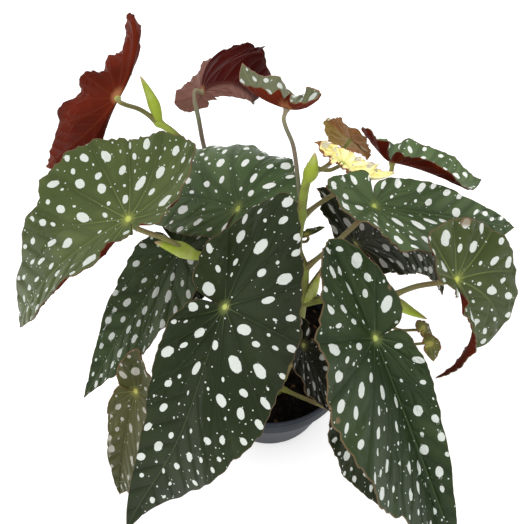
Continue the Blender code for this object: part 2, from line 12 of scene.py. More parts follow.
import bmesh
import bpy
import numpy as np
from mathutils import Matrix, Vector


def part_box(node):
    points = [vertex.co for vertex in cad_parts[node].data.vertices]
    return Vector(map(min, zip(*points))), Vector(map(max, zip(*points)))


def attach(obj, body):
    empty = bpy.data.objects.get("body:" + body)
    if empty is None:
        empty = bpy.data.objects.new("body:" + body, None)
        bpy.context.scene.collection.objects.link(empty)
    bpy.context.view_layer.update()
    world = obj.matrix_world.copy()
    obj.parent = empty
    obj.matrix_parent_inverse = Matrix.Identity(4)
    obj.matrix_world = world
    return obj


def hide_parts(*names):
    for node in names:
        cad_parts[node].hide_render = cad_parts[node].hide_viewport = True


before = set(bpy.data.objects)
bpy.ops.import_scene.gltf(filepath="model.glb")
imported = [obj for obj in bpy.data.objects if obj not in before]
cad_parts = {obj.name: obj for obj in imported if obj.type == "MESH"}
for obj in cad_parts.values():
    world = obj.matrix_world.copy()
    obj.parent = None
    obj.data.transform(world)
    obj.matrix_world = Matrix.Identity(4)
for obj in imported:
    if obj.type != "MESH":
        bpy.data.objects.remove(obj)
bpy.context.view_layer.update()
MM = 0.001

# %% [markdown]
# ## Camera, floor and light
#
# A potted plant this size is usually looked down on from about half a metre, so the camera stands
# close and tilts down steeply: the nearest leaves look large and the pot small. The light is a
# bright white surround with two big soft lamps. Small lamps would give each waxy leaf a hard
# glint; a large one gives the broad, pale sheen that shows how the blade is bent.

# %% Camera
def add_object(name, data):
    """A new object that holds the data, put into the scene."""
    obj = bpy.data.objects.new(name, data)
    bpy.context.scene.collection.objects.link(obj)
    return obj


def make_camera(place, tilt_down, lens):
    """A camera that looks towards +Y and down by tilt_down degrees; place and lens in mm."""
    data = bpy.data.cameras.new("camera")
    data.lens = lens
    data.sensor_width = 36.0
    data.clip_start = 0.01
    data.clip_end = 50.0
    obj = add_object("camera", data)
    obj.location = [v * MM for v in place]
    obj.rotation_euler = (radians(90.0 - tilt_down), 0.0, 0.0)
    return obj


bpy.context.scene.camera = make_camera(place=(-5, -227, 494), tilt_down=55.0, lens=50.0)
bpy.context.scene.view_settings.view_transform = "Standard"
print("camera at", tuple(bpy.context.scene.camera.location))


# %% Material helper
def new_material(name):
    """An empty node material with its Principled shader; returns the tree, shader and a maker."""
    mat = bpy.data.materials.new(name)
    mat.use_nodes = True
    tree = mat.node_tree
    shader = tree.nodes["Principled BSDF"]

    def node(kind, links=None, **settings):
        """Add a node; settings are its properties, links are socket name or index to value."""
        made = tree.nodes.new(kind)
        for key, value in settings.items():
            setattr(made, key, value)
        for key, value in (links or {}).items():
            socket = made.inputs[key]
            if isinstance(value, bpy.types.NodeSocket):
                tree.links.new(value, socket)
            else:
                socket.default_value = value
        return made

    return mat, shader, node


def wire(mat, value, socket):
    mat.node_tree.links.new(value, socket)


def rgb(r, g, b):
    return (r, g, b, 1.0)


print("opaque white is", rgb(1.0, 1.0, 1.0))

# %% Floor and lights
FLOOR_HALF = 6.0
FLOOR_TONES = (0.93, 0.96)
FLOOR_GLOW = 0.35
LAMP_AIM = (0.0, 0.0, 0.15)
SURROUND_STRENGTH = 0.88


def from_bmesh(name, bm):
    """A mesh with the shape of a bmesh, which is freed."""
    mesh = bpy.data.meshes.new(name)
    bm.to_mesh(mesh)
    bm.free()
    return mesh


def make_floor():
    """A wide white floor that glows a little; it only sets the stage."""
    bm = bmesh.new()
    bmesh.ops.create_grid(bm, x_segments=1, y_segments=1, size=FLOOR_HALF)
    floor = add_object("floor", from_bmesh("floor", bm))
    mat, shader, node = new_material("floor_white")
    cloud = node("ShaderNodeTexNoise", {"Scale": 3.0, "Detail": 2.0}).outputs["Fac"]
    dull, bright = (rgb(v, v, v) for v in FLOOR_TONES)
    tone = node("ShaderNodeMix", {"Factor": cloud, "A": dull, "B": bright}, data_type="RGBA")
    wire(mat, tone.outputs["Result"], shader.inputs["Base Color"])
    for socket, value in (("Roughness", 0.9), ("Emission Color", rgb(1.0, 1.0, 1.0)),
                          ("Emission Strength", FLOOR_GLOW)):
        shader.inputs[socket].default_value = value
    floor.data.materials.append(mat)


def make_lamp(name, place, size, power):
    """A round, soft lamp that aims at the pot; place and size in metres, power in watts."""
    data = bpy.data.lights.new(name, "AREA")
    data.shape = "DISK"
    data.size = size
    data.energy = power
    obj = add_object(name, data)
    obj.location = place
    obj.rotation_mode = "QUATERNION"
    obj.rotation_quaternion = (Vector(LAMP_AIM) - Vector(place)).to_track_quat("-Z", "Y")


make_floor()
make_lamp("lamp_high", place=(-0.6, -0.3, 1.7), size=1.5, power=13.5)
make_lamp("lamp_front", place=(0.9, -1.4, 1.2), size=1.2, power=8.0)
world = bpy.data.worlds.new("studio")
world.use_nodes = True
surround = world.node_tree.nodes["Background"].inputs
surround["Color"].default_value = rgb(1.0, 1.0, 1.0)
surround["Strength"].default_value = SURROUND_STRENGTH
bpy.context.scene.world = world
print("floor, two lamps and a white surround")

# %% [markdown]
# ## The shape of one leaf
#
# A polka dot begonia's blade is an angel wing: a long point, one broad half with a large rounded
# lobe behind the stalk, and one narrow half. One outline in polar form (how far the blade reaches
# at each angle from its tip) draws all of them, because a blade seen from its stalk hides none of
# its own edge. Each leaf then bends that flat shape: it droops along the midrib, curls across it,
# folds into a shallow gutter, and sways to one side. The same rule with the same numbers made the
# plain solids, so the fine leaf lies where its solid does.

# %% Outline of the wing
WING = (
    (0, 1.0), (2.5, 0.93), (6, 0.865), (11, 0.80), (18, 0.70), (30, 0.60), (45, 0.51), (62, 0.44),
    (84, 0.385), (105, 0.36), (122, 0.36), (140, 0.39), (156, 0.45), (168, 0.50), (176, 0.51),
    (186, 0.46), (198, 0.35), (212, 0.27), (230, 0.21), (245, 0.165), (256, 0.115), (263, 0.03),
    (270, 0.10), (280, 0.135), (295, 0.165), (312, 0.215), (328, 0.31), (340, 0.43), (348, 0.56),
    (353, 0.70), (356.5, 0.84), (360, 1.0),
)
SINUS = 263.0
wing_angle = np.array([a for a, _ in WING], float)
wing_share = np.array([r for _, r in WING], float)


def wing_slopes():
    """Slopes that keep the outline's curve from overshooting its points."""
    gap = np.diff(wing_angle)
    step = np.diff(wing_share) / gap
    slopes = np.zeros(len(wing_angle))
    slopes[0], slopes[-1] = step[0], step[-1]
    for i in range(1, len(gap)):
        if step[i - 1] * step[i] > 0:
            w = (2 * gap[i] + gap[i - 1], gap[i] + 2 * gap[i - 1])
            slopes[i] = sum(w) / (w[0] / step[i - 1] + w[1] / step[i])
    return slopes


wing_slope = wing_slopes()


def wing_reach(angle):
    """Reach of the blade, as a share of its length, at angles in degrees from the tip."""
    angle = np.mod(angle, 360.0)
    i = np.clip(np.searchsorted(wing_angle, angle, side="right") - 1, 0, len(WING) - 2)
    span = wing_angle[i + 1] - wing_angle[i]
    t = (angle - wing_angle[i]) / span
    start = (2 * t ** 3 - 3 * t ** 2 + 1) * wing_share[i]
    start += (t ** 3 - 2 * t ** 2 + t) * span * wing_slope[i]
    end = (3 * t ** 2 - 2 * t ** 3) * wing_share[i + 1]
    return start + end + (t ** 3 - t ** 2) * span * wing_slope[i + 1]


print("reach at the tip and at the back lobe:", wing_reach(np.array([0.0, 176.0])))

# %% [markdown]
# ## The leaves' own numbers
#
# Each row below is one leaf: where its stalk meets it (millimetres), the way it points, and its
# bends in degrees. They repeat the values that the plain solids were made from.

# %% Leaf table
# Groups of numbers in a row: the blade's foot; its directions in degrees and its hand (1 when the
# broad half is on the left); its length in mm and its proportions; its bends in degrees; the
# waves of its margin in mm, their phase, and how finely it is meshed.
GROUPS = (
    ("heading", "pitch", "roll", "hand"), ("length", "wide", "narrow", "back"),
    ("droop", "back_droop", "curl_wide", "curl_narrow", "sweep", "fold"),
    ("wave", "phase", "size"),
)
ROWS = {
    "leaf_front_left": ((-21, -64, 228), (-21, -24, 24, 1), (133, 0.7, 1.15, 0.85),
        (70, 19, 4, -34, -26, -16), (1.2, 0.4, "large"), dict(bulges=((302, 16, 0.15),))),
    "leaf_front_right": ((43, -76, 222), (29, -38, -11, -1), (110, 1.2, 0.9, 0.85),
        (15, 1, 13, 14, -3, 35), (1.4, 1.9, "large")),
    "leaf_left": ((-65, -24, 238), (-67, -14, 12, -1), (99, 1.45, 1.4, 0.9),
        (66, -46, -12, -30, 12, 2), (1.5, 3.1, "large"),
        dict(bulges=((34, 7, -0.15), (346, 6, 0.1)))),
    "leaf_upper_centre": ((-17, 6, 208), (-123, -11, -30, -1), (106, 1.2, 1.2, 0.55),
        (55, 10, 80, 13, -15, 13), (1.2, 0.9, "large")),
    "leaf_left_low": ((-51, 12, 165), (-49, -37, 8, 1), (107, 0.75, 1.35, 1.0),
        (7, 9, 0, -3, 3, 10), (1.2, 2.2, "large")),
    "leaf_right_mid": ((47, -12, 232), (102, -23, 7, -1), (99, 1.05, 0.95, 0.7),
        (14, -45, 10, 4, -3, 30), (1.3, 4.0, "large")),
    "leaf_right": ((79, -53, 232), (67, -46, 0, 1), (68, 1.25, 1.5, 0.8),
        (68, -7, 27, 4, -15, 28), (1.2, 5.2, "large"), dict(twist=39, back_twist=-7)),
    "leaf_back_left": ((-81, 63, 230), (-50, -44, 109, 1), (67, 1.1, 1.25, 1.8),
        (33, -54, -15, -24, 45, 60), (2.0, 1.1, "large"),
        dict(twist=19, back_twist=-43, bulges=((32, 8, 0.15), (194, 8, 0.05)))),
    "leaf_back_centre": ((-37, 79, 220), (59, 55, -129, -1), (76, 1.1, 0.6, 0.6),
        (-40, 60, -60, 10, -44, 4), (1.6, 2.8, "large"), dict(twist=44, back_twist=-2)),
    "leaf_shaded_right": ((45, 5, 180), (135, -28, 16, 1), (106, 0.9, 1.35, 0.25),
        (23, 5, 5, 24, -27, 8), (1.2, 0.2, "large")),
    "leaf_shaded_left": ((-37, 36, 128), (-45, -44, 0, -1), (60, 0.9, 1.3, 0.9),
        (15, 5, 5, 8, -5, 8), (1.2, 2.9, "medium")),
    "leaf_back_right": ((6, 12, 271), (-117, -5, 43, -1), (34, 1.35, 1.9, 1.05),
        (-27, -56, 20, -9, 15, 30), (1.5, 3.6, "medium"), dict(twist=33, back_twist=-90)),
    "leaf_right_top": ((59, 18, 230), (72, 4, -46, 1), (56, 1.5, 1.7, 0.8),
        (25, 2, -33, -27, 40, -1), (1.2, 4.6, "medium"), dict(twist=-16, back_twist=33, cock=36)),
    "leaf_low_centre": ((18, -33, 136), (41, -52, -23, -1), (57, 0.95, 1.0, 0.95),
        (-9, 5, -1, 9, -1, 14), (1.0, 5.5, "medium")),
    "leaf_low_right": ((43, -74, 130), (18, -46, -15, -1), (64, 0.7, 1.0, 0.95),
        (-12, 6, 7, 4, -13, 9), (1.2, 0.7, "medium")),
    "leaf_low_left": ((-67, -74, 165), (-30, -55, 8, 1), (76, 1.0, 0.95, 0.75),
        (20, -45, 3, 6, 0, 20), (1.2, 1.6, "medium")),
    "leaf_young_pale": ((45, 64, 199), (166, -55, 25, 1), (60, 0.8, 1.45, 1.0),
        (4, -4, 5, 9, 18, 1), (0.9, 2.4, "medium")),
    "leaf_young_crumpled": ((33, 5, 243), (76, -34, 7, 1), (31, 0.55, 0.75, 1.1),
        (13, 1, 8, 13, 26, 18), (1.1, 3.3, "medium")),
    "leaf_sprig": ((18, 3, 191), (110, 12, -3, 1), (11, 0.7, 0.9, 1.0),
        (16, 10, 13, 10, 4, 0), (0.3, 0.0, "small")),
    "leaf_small_upper": ((77, -43, 172), (60, -38, 2, 1), (9, 1.5, 2.4, 1.2),
        (22, 10, 14, 14, 9, 0), (0.3, 1.0, "small")),
    "leaf_small_lower": ((79.5, -50.5, 170), (20, -32, 6, 1), (10, 1.45, 2.3, 1.0),
        (30, 10, 9, 8, 0, 4), (0.3, 2.0, "small")),
}
LEAVES = {}
for name, (foot, *groups) in ROWS.items():
    LEAVES[name] = {"at": foot}
    for keys, numbers in zip(GROUPS, groups):
        LEAVES[name].update(zip(keys, numbers))
    for extra in groups[len(GROUPS):]:
        LEAVES[name].update(extra)
print("leaves:", len(LEAVES))


# %% Outline of one leaf
# Waves round a leaf: (height, waves in a whole turn, share of the leaf's own phase).
SCALLOPS = ((0.016, 9, 1), (0.010, 17, 2))
WAVES = ((1.0, 7, 1), (0.5, 12, 2.3))
CALM_TIP = 20.0


def ripple(leaf, a, beats):
    """Sine waves round the leaf, added up, at the angles a in radians."""
    return sum(high * np.sin(waves * a + shift * leaf["phase"]) for high, waves, shift in beats)


def edge_reach(leaf, angle):
    """The wing outline with this leaf's shallow scallops and its own bulges."""
    scallop = ripple(leaf, np.radians(angle), SCALLOPS)
    calm = np.minimum(1.0, np.minimum(angle, 360.0 - angle) / CALM_TIP)
    reach = wing_reach(angle) * (1.0 + scallop * calm)
    for centre, spread, gain in leaf.get("bulges", ()):
        away = (angle - centre + 180.0) % 360.0 - 180.0
        reach = reach * (1.0 + gain * np.exp(-(away / spread) ** 2))
    return reach


def edge_lift(leaf, angle, share):
    """How far the waves of the margin lift the blade, at a share of its reach, in mm."""
    return leaf["wave"] * share ** 2 * ripple(leaf, np.radians(angle), WAVES)


def flat_shape(leaf, x, y):
    """The leaf's own proportions, still flat: back lobe, wide half and narrow half."""
    x = np.where(x < 0, x * leaf["back"], x)
    y = np.where(y > 0, y * leaf["wide"], y * leaf["narrow"])
    turn = radians(leaf["sweep"]) * np.maximum(x, 0.0)
    return x * np.cos(turn) - y * np.sin(turn), x * np.sin(turn) + y * np.cos(turn)


first = LEAVES["leaf_front_left"]
print("largest leaf, foot to tip:", round(float(edge_reach(first, np.zeros(1))[0]) * first["length"]))

# %% Bending a flat blade
# The shares of the length that a row's curl_wide, curl_narrow and back_droop are spread over.
WIDE_SPAN, NARROW_SPAN, BACK_SPAN = 0.4, 0.2, 0.5
COCK_REACH = 0.1
STRAIGHT = 1e-4


def bent(leaf, x, y):
    """Points of the flat blade (shares of the length, x to the tip, y to the wide side), bent."""
    x, y = flat_shape(leaf, x, y)
    across = np.where(y > 0, radians(leaf["curl_wide"]) / WIDE_SPAN,
                      radians(leaf["curl_narrow"]) / NARROW_SPAN)
    across = np.where(across == 0, STRAIGHT, across)
    fold = -radians(leaf["fold"])
    side = np.where(y >= 0, 1.0, -1.0)
    reach = (np.sin(fold + across * np.abs(y)) - sin(fold)) / across * side
    dip = (cos(fold) - np.cos(fold + across * np.abs(y))) / across
    twist = radians(leaf.get("twist", 0)) * np.maximum(x, 0.0)
    twist = twist + radians(leaf.get("back_twist", 0)) * np.minimum(x, 0.0)
    reach, dip = (reach * np.cos(twist) + dip * np.sin(twist),
                  dip * np.cos(twist) - reach * np.sin(twist))
    along = np.where(x > 0, radians(leaf["droop"]), radians(leaf["back_droop"]) / BACK_SPAN)
    along = np.where(along == 0, STRAIGHT, along)
    lean = along * x
    ahead = np.sin(along * np.abs(x)) / along * np.where(x >= 0, 1.0, -1.0)
    drop = (1.0 - np.cos(along * np.abs(x))) / along
    ahead, height = ahead - dip * np.sin(lean), -drop - dip * np.cos(lean)
    cock = radians(leaf.get("cock", 0)) * (1.0 - np.exp(np.minimum(x, 0.0) / COCK_REACH))
    flat = (ahead * np.cos(cock) + height * np.sin(cock), reach * leaf["hand"],
            height * np.cos(cock) - ahead * np.sin(cock))
    return np.stack(flat, -1) * leaf["length"]


print("its tip, bent, in mm:", bent(first, np.array([1.0]), np.array([0.0])).round(1))

# %% Placing the bent blade
def leaf_axes(leaf):
    """Directions to the tip, to the left of the midrib, and up out of the upper face."""
    a, b, c = (radians(leaf[k]) for k in ("heading", "pitch", "roll"))
    tip = np.array((cos(b) * sin(a), -cos(b) * cos(a), sin(b)))
    up = np.array((-sin(b) * sin(a), sin(b) * cos(a), cos(b)))
    left = np.cross(up, tip)
    return tip, left * cos(c) + up * sin(c), up * cos(c) - left * sin(c)


def unit(v):
    return v / np.maximum(np.linalg.norm(v, axis=-1, keepdims=True), 1e-9)


def blade_surface(leaf, x, y, lift):
    """Middle surface of the placed blade and its normals, lifted by lift off the bent sheet."""
    step = 0.004
    middle = bent(leaf, x, y)
    slope_x = bent(leaf, x + step, y) - bent(leaf, x - step, y)
    slope_y = bent(leaf, x, y + step) - bent(leaf, x, y - step)
    normal = unit(np.cross(slope_x, slope_y)) * leaf["hand"]
    turn = np.stack(leaf_axes(leaf))
    place = (middle + normal * lift[..., None]) @ turn + np.array(leaf["at"], float)
    return place, normal @ turn


low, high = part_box("leaf_front_left")
print("largest leaf's solid, mm:", [round((h - l) * 1000) for l, h in zip(low, high)])

# %% [markdown]
# ## Veins
#
# Main veins fan out from the stalk like the ribs of a fan, and the midrib sends pairs of side
# veins forward to the margin. They matter twice: the upper face is pressed in along them and
# puffed up between them, and near the stalk they are drawn as fine pale lines. The puffing is
# shape, so it is worked out here at each point of the mesh as the distance to the nearest vein.
# The fine lines are finer than the mesh, so the leaf finish draws them from the same angles.

# %% Vein map of a blade
FAN = (0, 22, 50, 84, 118, 152, 176, 200, 300, 322, 340)
MIDRIB_END, RIB_END = 0.985, 0.95
# Where a rib forks and by how many degrees the fork turns off; forks stop short of the margin.
FORKS = ((0.45, 24), (0.55, -26), (0.72, 20))
FORK_END = 0.8
# Side veins of the midrib: shares of the length for the first, the step and the reach.
SIDE_FIRST, SIDE_STEP, SIDE_COUNT = 0.16, 0.12, 7
SIDE_LEAN = 42.0
SIDE_REACH, SIDE_TAPER, SIDE_NARROW = 0.42, 0.8, 0.62
# A weak vein counts as farther away. Each one weakens on its way out, down to a least strength.
RIB_STRENGTH, FORK_STRENGTH, SIDE_STRENGTH = 0.8, 0.4, 0.55
VEIN_THINS, THINNEST = 0.6, 0.08


def vein_lines():
    """Vein segments in flat shares of the length: (start, end, strength)."""
    lines = [((0.0, 0.0), (MIDRIB_END, 0.0), 1.0)]
    for angle in FAN[1:]:
        reach = float(wing_reach(np.array([angle]))[0]) * RIB_END
        a = radians(angle)
        end = (reach * cos(a), reach * sin(a))
        lines.append(((0.0, 0.0), end, RIB_STRENGTH))
        for share, turn in FORKS:
            b = radians(angle + turn)
            root = (end[0] * share, end[1] * share)
            out = reach * (1.0 - share) * FORK_END
            lines.append((root, (root[0] + out * cos(b), root[1] + out * sin(b)), FORK_STRENGTH))
    for step in range(SIDE_COUNT):
        start = SIDE_FIRST + SIDE_STEP * step
        for side, part in ((1, 1.0), (-1, SIDE_NARROW)):
            a = radians(SIDE_LEAN) * side
            out = SIDE_REACH * (1.0 - start) ** SIDE_TAPER * part
            lines.append(((start, 0.0), (start + out * cos(a), out * sin(a)), SIDE_STRENGTH))
    return lines


VEINS = vein_lines()
print("main veins:", len(FAN), "segments in all:", len(VEINS))

# %% Distances to the veins
def vein_distance(x, y):
    """Distance in shares of the length to the nearest vein, larger for finer veins."""
    best = np.full(x.shape, np.inf)
    for (ax, ay), (bx, by), strength in VEINS:
        ex, ey = bx - ax, by - ay
        t = np.clip(((x - ax) * ex + (y - ay) * ey) / (ex * ex + ey * ey), 0.0, 1.0)
        away = np.hypot(x - ax - t * ex, y - ay - t * ey)
        best = np.minimum(best, away / np.maximum(strength * (1.0 - VEIN_THINS * t), THINNEST))
    return best


def rib_distance(x, y):
    """Plain distance from one point to the nearest of the fan's ribs, in the units of x and y."""
    angle = degrees(atan2(y, x)) % 360.0
    turn = min(abs((angle - a + 180.0) % 360.0 - 180.0) for a in FAN)
    return hypot(x, y) * (sin(radians(turn)) if turn < 90 else 1.0)


print("two mm beside the midrib:", round(rib_distance(20.0, 2.0), 2), "mm from the nearest rib")

# %% [markdown]
# ## Spots
#
# The silvery spots are tiny air pockets under the skin. They sit between the ribs: bold ovals in
# the middle of the blade, smaller ones toward the margin and tip, and fine specks among them. A
# seeded draw throws ovals of three sizes at the flat blade and keeps those that are clear of each
# other and of the ribs. Every vertex then remembers the whole oval nearest to it: its middle, its
# direction and its half sizes. The finish measures from that remembered middle, so the rim of a
# spot comes out crisp even where the mesh is coarser than the rim.

# %% Spot layout
# Three throws for each size of leaf: (how many, mm between their middles, half length in mm).
SPOT_SIZES = {
    "large": ((32, 10.5, 3.7), (26, 8.0, 2.3), (28, 5.5, 1.1)),
    "medium": ((20, 8.5, 2.9), (14, 6.5, 1.7), (14, 4.5, 0.8)),
    "small": ((8, 4.2, 1.0), (6, 3.0, 0.5), (4, 2.4, 0.3)),
}
CLEAR_GAP = {"large": 2.9, "medium": 2.3, "small": 1.0}
CLEAR_OF_BASE = {"large": 8.0, "medium": 5.0, "small": 1.5}
CLEAR_OF_MARGIN, CLEAR_OF_RIB = 1.0, 0.35
# Throws allowed for each spot that is wanted, and how seldom one near the stalk is given up.
TRIES, CROWDING = 40, 1.6
# Spots shrink towards the margin and the tip. Half lengths are shares of the throw's own, half
# widths are shares of those, and headings lean to the tip with some spread, in radians.
SHRINK_OUTWARD, SHRINK_TO_TIP = 0.35, 0.35
LONG, SLIM = (0.78, 1.2), (0.50, 0.80)
TURN_TO_TIP, TURN_SPREAD = 0.35, 0.22


def throw_spots(leaf, seed):
    """Seeded ovals on the flat blade in mm: middle x and y, half length, half width, heading."""
    draw = np.random.default_rng(seed)
    length, clear = leaf["length"], CLEAR_GAP[leaf["size"]]
    kept = []
    for wanted, gap, size in SPOT_SIZES[leaf["size"]]:
        count = 0
        for _ in range(wanted * TRIES):
            if count >= wanted:
                break
            angle, share = draw.uniform(0, 360), draw.uniform(0.02, 0.97) ** 0.5
            reach = float(edge_reach(leaf, np.array([angle]))[0])
            if draw.uniform() > (reach * share) * CROWDING:
                continue
            x, y = reach * share * cos(radians(angle)), reach * share * sin(radians(angle))
            flat = flat_shape(leaf, np.array([x]), np.array([y]))
            px, py = float(flat[0][0]) * length, float(flat[1][0]) * length
            shrink = 1.0 - SHRINK_OUTWARD * share ** 3
            shrink *= 1.0 - SHRINK_TO_TIP * max(0.0, px / length) ** 1.5
            half = size * shrink * draw.uniform(*LONG)
            width = half * draw.uniform(*SLIM)
            margin = (1 - share) * reach * length
            if hypot(px, py) < CLEAR_OF_BASE[leaf["size"]] + half:
                continue
            if margin < width + CLEAR_OF_MARGIN:
                continue
            if rib_distance(x * length, y * length) < width + CLEAR_OF_RIB:
                continue
            if any(hypot(px - q[0], py - q[1]) < (gap * shrink if q[5] == size else 0.0)
                   or hypot(px - q[0], py - q[1]) < half + q[2] + clear for q in kept):
                continue
            heading = atan2(py, px - TURN_TO_TIP * max(px, 0.0)) + draw.normal(0, TURN_SPREAD)
            kept.append((px, py, half, width, heading, size))
            count += 1
    return kept


print("spots on the largest leaf:", len(throw_spots(first, 3)))

# %% The nearest spot of each point
FAR = 99.0


def nearest_spots(x, y, spots):
    """For each point: how deep it lies in its nearest oval (mm), and that oval's own numbers."""
    depth = np.full(x.shape, -FAR)
    middle = np.zeros((len(x), 3))
    halves = np.ones((len(x), 3))
    for px, py, half, width, heading, _ in spots:
        u = ((x - px) * cos(heading) + (y - py) * sin(heading)) / half
        v = (-(x - px) * sin(heading) + (y - py) * cos(heading)) / width
        here = (1.0 - np.hypot(u, v)) * width
        closer = here > depth
        depth[closer] = here[closer]
        middle[closer] = (px, py, heading)
        halves[closer] = (half, width, 1.0)
    return depth, middle, halves


lone_spot = [(0, 0, 3, 2, 0, 3)]
print("depth at a spot's middle, mm:", nearest_spots(np.zeros(1), np.zeros(1), lone_spot)[0])

# %% [markdown]
# ## Leaf finishes
#
# One builder makes every upper face. Each vertex carries its place on the flat leaf, so the
# finish can draw on the leaf as on paper: turn that place into an angle and a radius about the
# stalk, look up the nearest rib, and the distance to it gives a fine pale line. The herringbone
# of side veins comes the same way from a repeating count along the midrib. Under the colour, the
# same distances press the veins in, and a net of tiny cells gives the leathery skin. The
# underside is a second builder in red-brown, where the ribs stand out instead.

# %% Shader helpers
def grade(node, value, low, high, full=None):
    """0 at low, 1 (or full) at high, smooth between; low may be the larger of the two."""
    made = node("ShaderNodeMapRange", {"Value": value, "From Min": low, "From Max": high},
                interpolation_type="SMOOTHSTEP").outputs["Result"]
    return made if full is None else maths(node, "MULTIPLY", made, full)


def ramp(node, value, stops, steps="EASE"):
    """The colour at value on a ramp with these (place, colour) stops."""
    made = node("ShaderNodeValToRGB", {0: value})
    band = made.color_ramp
    band.interpolation = steps
    band.elements[0].position, band.elements[0].color = stops[0]
    band.elements[1].position, band.elements[1].color = stops[-1]
    for place, colour in stops[1:-1]:
        band.elements.new(place).color = colour
    return made.outputs["Color"]


def mixed(node, factor, a, b):
    return node("ShaderNodeMix", {"Factor": factor, "A": a, "B": b}, data_type="RGBA",
                clamp_factor=True).outputs["Result"]


def maths(node, kind, a, b=0.0, c=0.0):
    return node("ShaderNodeMath", {0: a, 1: b, 2: c}, operation=kind).outputs["Value"]


def noise(node, vector, scale, detail=2.0):
    links = {"Vector": vector, "Scale": scale, "Detail": detail}
    return node("ShaderNodeTexNoise", links).outputs["Fac"]


def field(node, name, output="Fac"):
    """A number or vector that the mesh keeps for each vertex."""
    made = node("ShaderNodeAttribute", attribute_name=name, attribute_type="GEOMETRY")
    return made.outputs[output]


print("noise, ramps and mixes ready")

# %% Patterns and the end of a finish
def cells(node, vector, scale, **settings):
    """The outputs of a flat pattern of irregular cells."""
    return node("ShaderNodeTexVoronoi", {"Vector": vector, "Scale": scale},
                voronoi_dimensions="2D", **settings).outputs


def shaded(colour, share):
    """A colour darkened to a share of itself."""
    return rgb(*[share * c for c in colour])


def finished(mat, shader, node, colour, roughness, height, strength, depth, gloss):
    """Plug colour, roughness and a bump of that strength and depth (metres) into the shader."""
    wire(mat, colour, shader.inputs["Base Color"])
    wire(mat, roughness, shader.inputs["Roughness"])
    bump = node("ShaderNodeBump", {"Height": height, "Strength": strength, "Distance": depth})
    wire(mat, bump.outputs["Normal"], shader.inputs["Normal"])
    shader.inputs["Specular IOR Level"].default_value = gloss
    return mat


print("half of a colour:", shaded((0.2, 0.6, 0.8), 0.5))

# %% Ribs and side veins drawn on the flat leaf
def nearest_rib_stops():
    """Ramp stops that turn an angle (0 to 1 for a whole turn) into the nearest rib's angle."""
    ribs = list(FAN) + [360]
    stops = [(0.0, 0.0)]
    for a, b in zip(ribs, ribs[1:]):
        stops.append(((a + b) / 720.0, b / 360.0))
    return [(place, rgb(value, value, value)) for place, value in stops]


def vein_distances(node):
    """Distances in mm: from the stalk, the nearest rib, the midrib and the nearest side vein."""
    parts = node("ShaderNodeSeparateXYZ", {0: field(node, "flat_leaf", "Vector")}).outputs
    x, y, length = parts["X"], parts["Y"], parts["Z"]
    radius = maths(node, "SQRT", maths(node, "ADD", maths(node, "MULTIPLY", x, x),
                                       maths(node, "MULTIPLY", y, y)))
    turn = maths(node, "DIVIDE", maths(node, "ARCTAN2", y, x), 2 * pi)
    turn = maths(node, "FRACT", maths(node, "ADD", turn, 1.0))
    nearest = ramp(node, turn, nearest_rib_stops(), "CONSTANT")
    away = maths(node, "ABSOLUTE", maths(node, "SUBTRACT", turn, nearest))
    away = maths(node, "MULTIPLY", away, 2 * pi)
    rib = maths(node, "MULTIPLY", radius, maths(node, "SINE", away))
    aside = maths(node, "ABSOLUTE", y)
    midrib = maths(node, "ADD", aside, grade(node, x, 0.0, -1.0, FAR))
    slant = maths(node, "MULTIPLY", aside, 1.0 / np.tan(radians(SIDE_LEAN)))
    slant = maths(node, "SUBTRACT", x, slant)
    share = maths(node, "DIVIDE", slant, length)
    count = maths(node, "DIVIDE", maths(node, "SUBTRACT", share, SIDE_FIRST), SIDE_STEP)
    off = maths(node, "FRACT", maths(node, "ADD", count, 0.5))
    off = maths(node, "ABSOLUTE", maths(node, "SUBTRACT", off, 0.5))
    side = maths(node, "MULTIPLY", maths(node, "MULTIPLY", off, length),
                 SIDE_STEP * sin(radians(SIDE_LEAN)))
    return radius, rib, midrib, maths(node, "ADD", side, grade(node, share, 0.12, 0.06, FAR))


print("rib stops on the ramp:", len(nearest_rib_stops()))

# %% Silver inside the spots
# How uneven a spot's rim is, where it fades (shares of its half sizes), and how far outside the
# oval, in mm, a spot is no longer looked for.
UNEVEN = 0.36
SPOT_RIM = (1.05, 0.93)
SPOT_REACH = (-0.65, -0.3)


def spot_cover(node, flat):
    """1 inside the remembered oval, 0 outside, with a slightly uneven rim."""
    middle = node("ShaderNodeSeparateXYZ", {0: field(node, "spot_middle", "Vector")}).outputs
    centre = node("ShaderNodeCombineXYZ", {"X": middle["X"], "Y": middle["Y"]}).outputs["Vector"]
    off = node("ShaderNodeVectorMath", {0: flat, 1: centre}, operation="SUBTRACT").outputs["Vector"]
    back = maths(node, "MULTIPLY", middle["Z"], -1.0)
    turned = node("ShaderNodeVectorRotate", {"Vector": off, "Angle": back},
                  rotation_type="Z_AXIS").outputs["Vector"]
    scaled = node("ShaderNodeVectorMath", {0: turned, 1: field(node, "spot_halves", "Vector")},
                  operation="DIVIDE").outputs["Vector"]
    rho = node("ShaderNodeVectorMath", {0: scaled}, operation="LENGTH").outputs["Value"]
    uneven = maths(node, "MULTIPLY_ADD", noise(node, flat, 0.5), UNEVEN, -UNEVEN / 2)
    oval = grade(node, maths(node, "ADD", rho, uneven), *SPOT_RIM)
    return maths(node, "MULTIPLY", oval, grade(node, field(node, "spot_depth"), *SPOT_REACH))


print("a spot fades over", round(SPOT_RIM[0] - SPOT_RIM[1], 2), "of its half width")

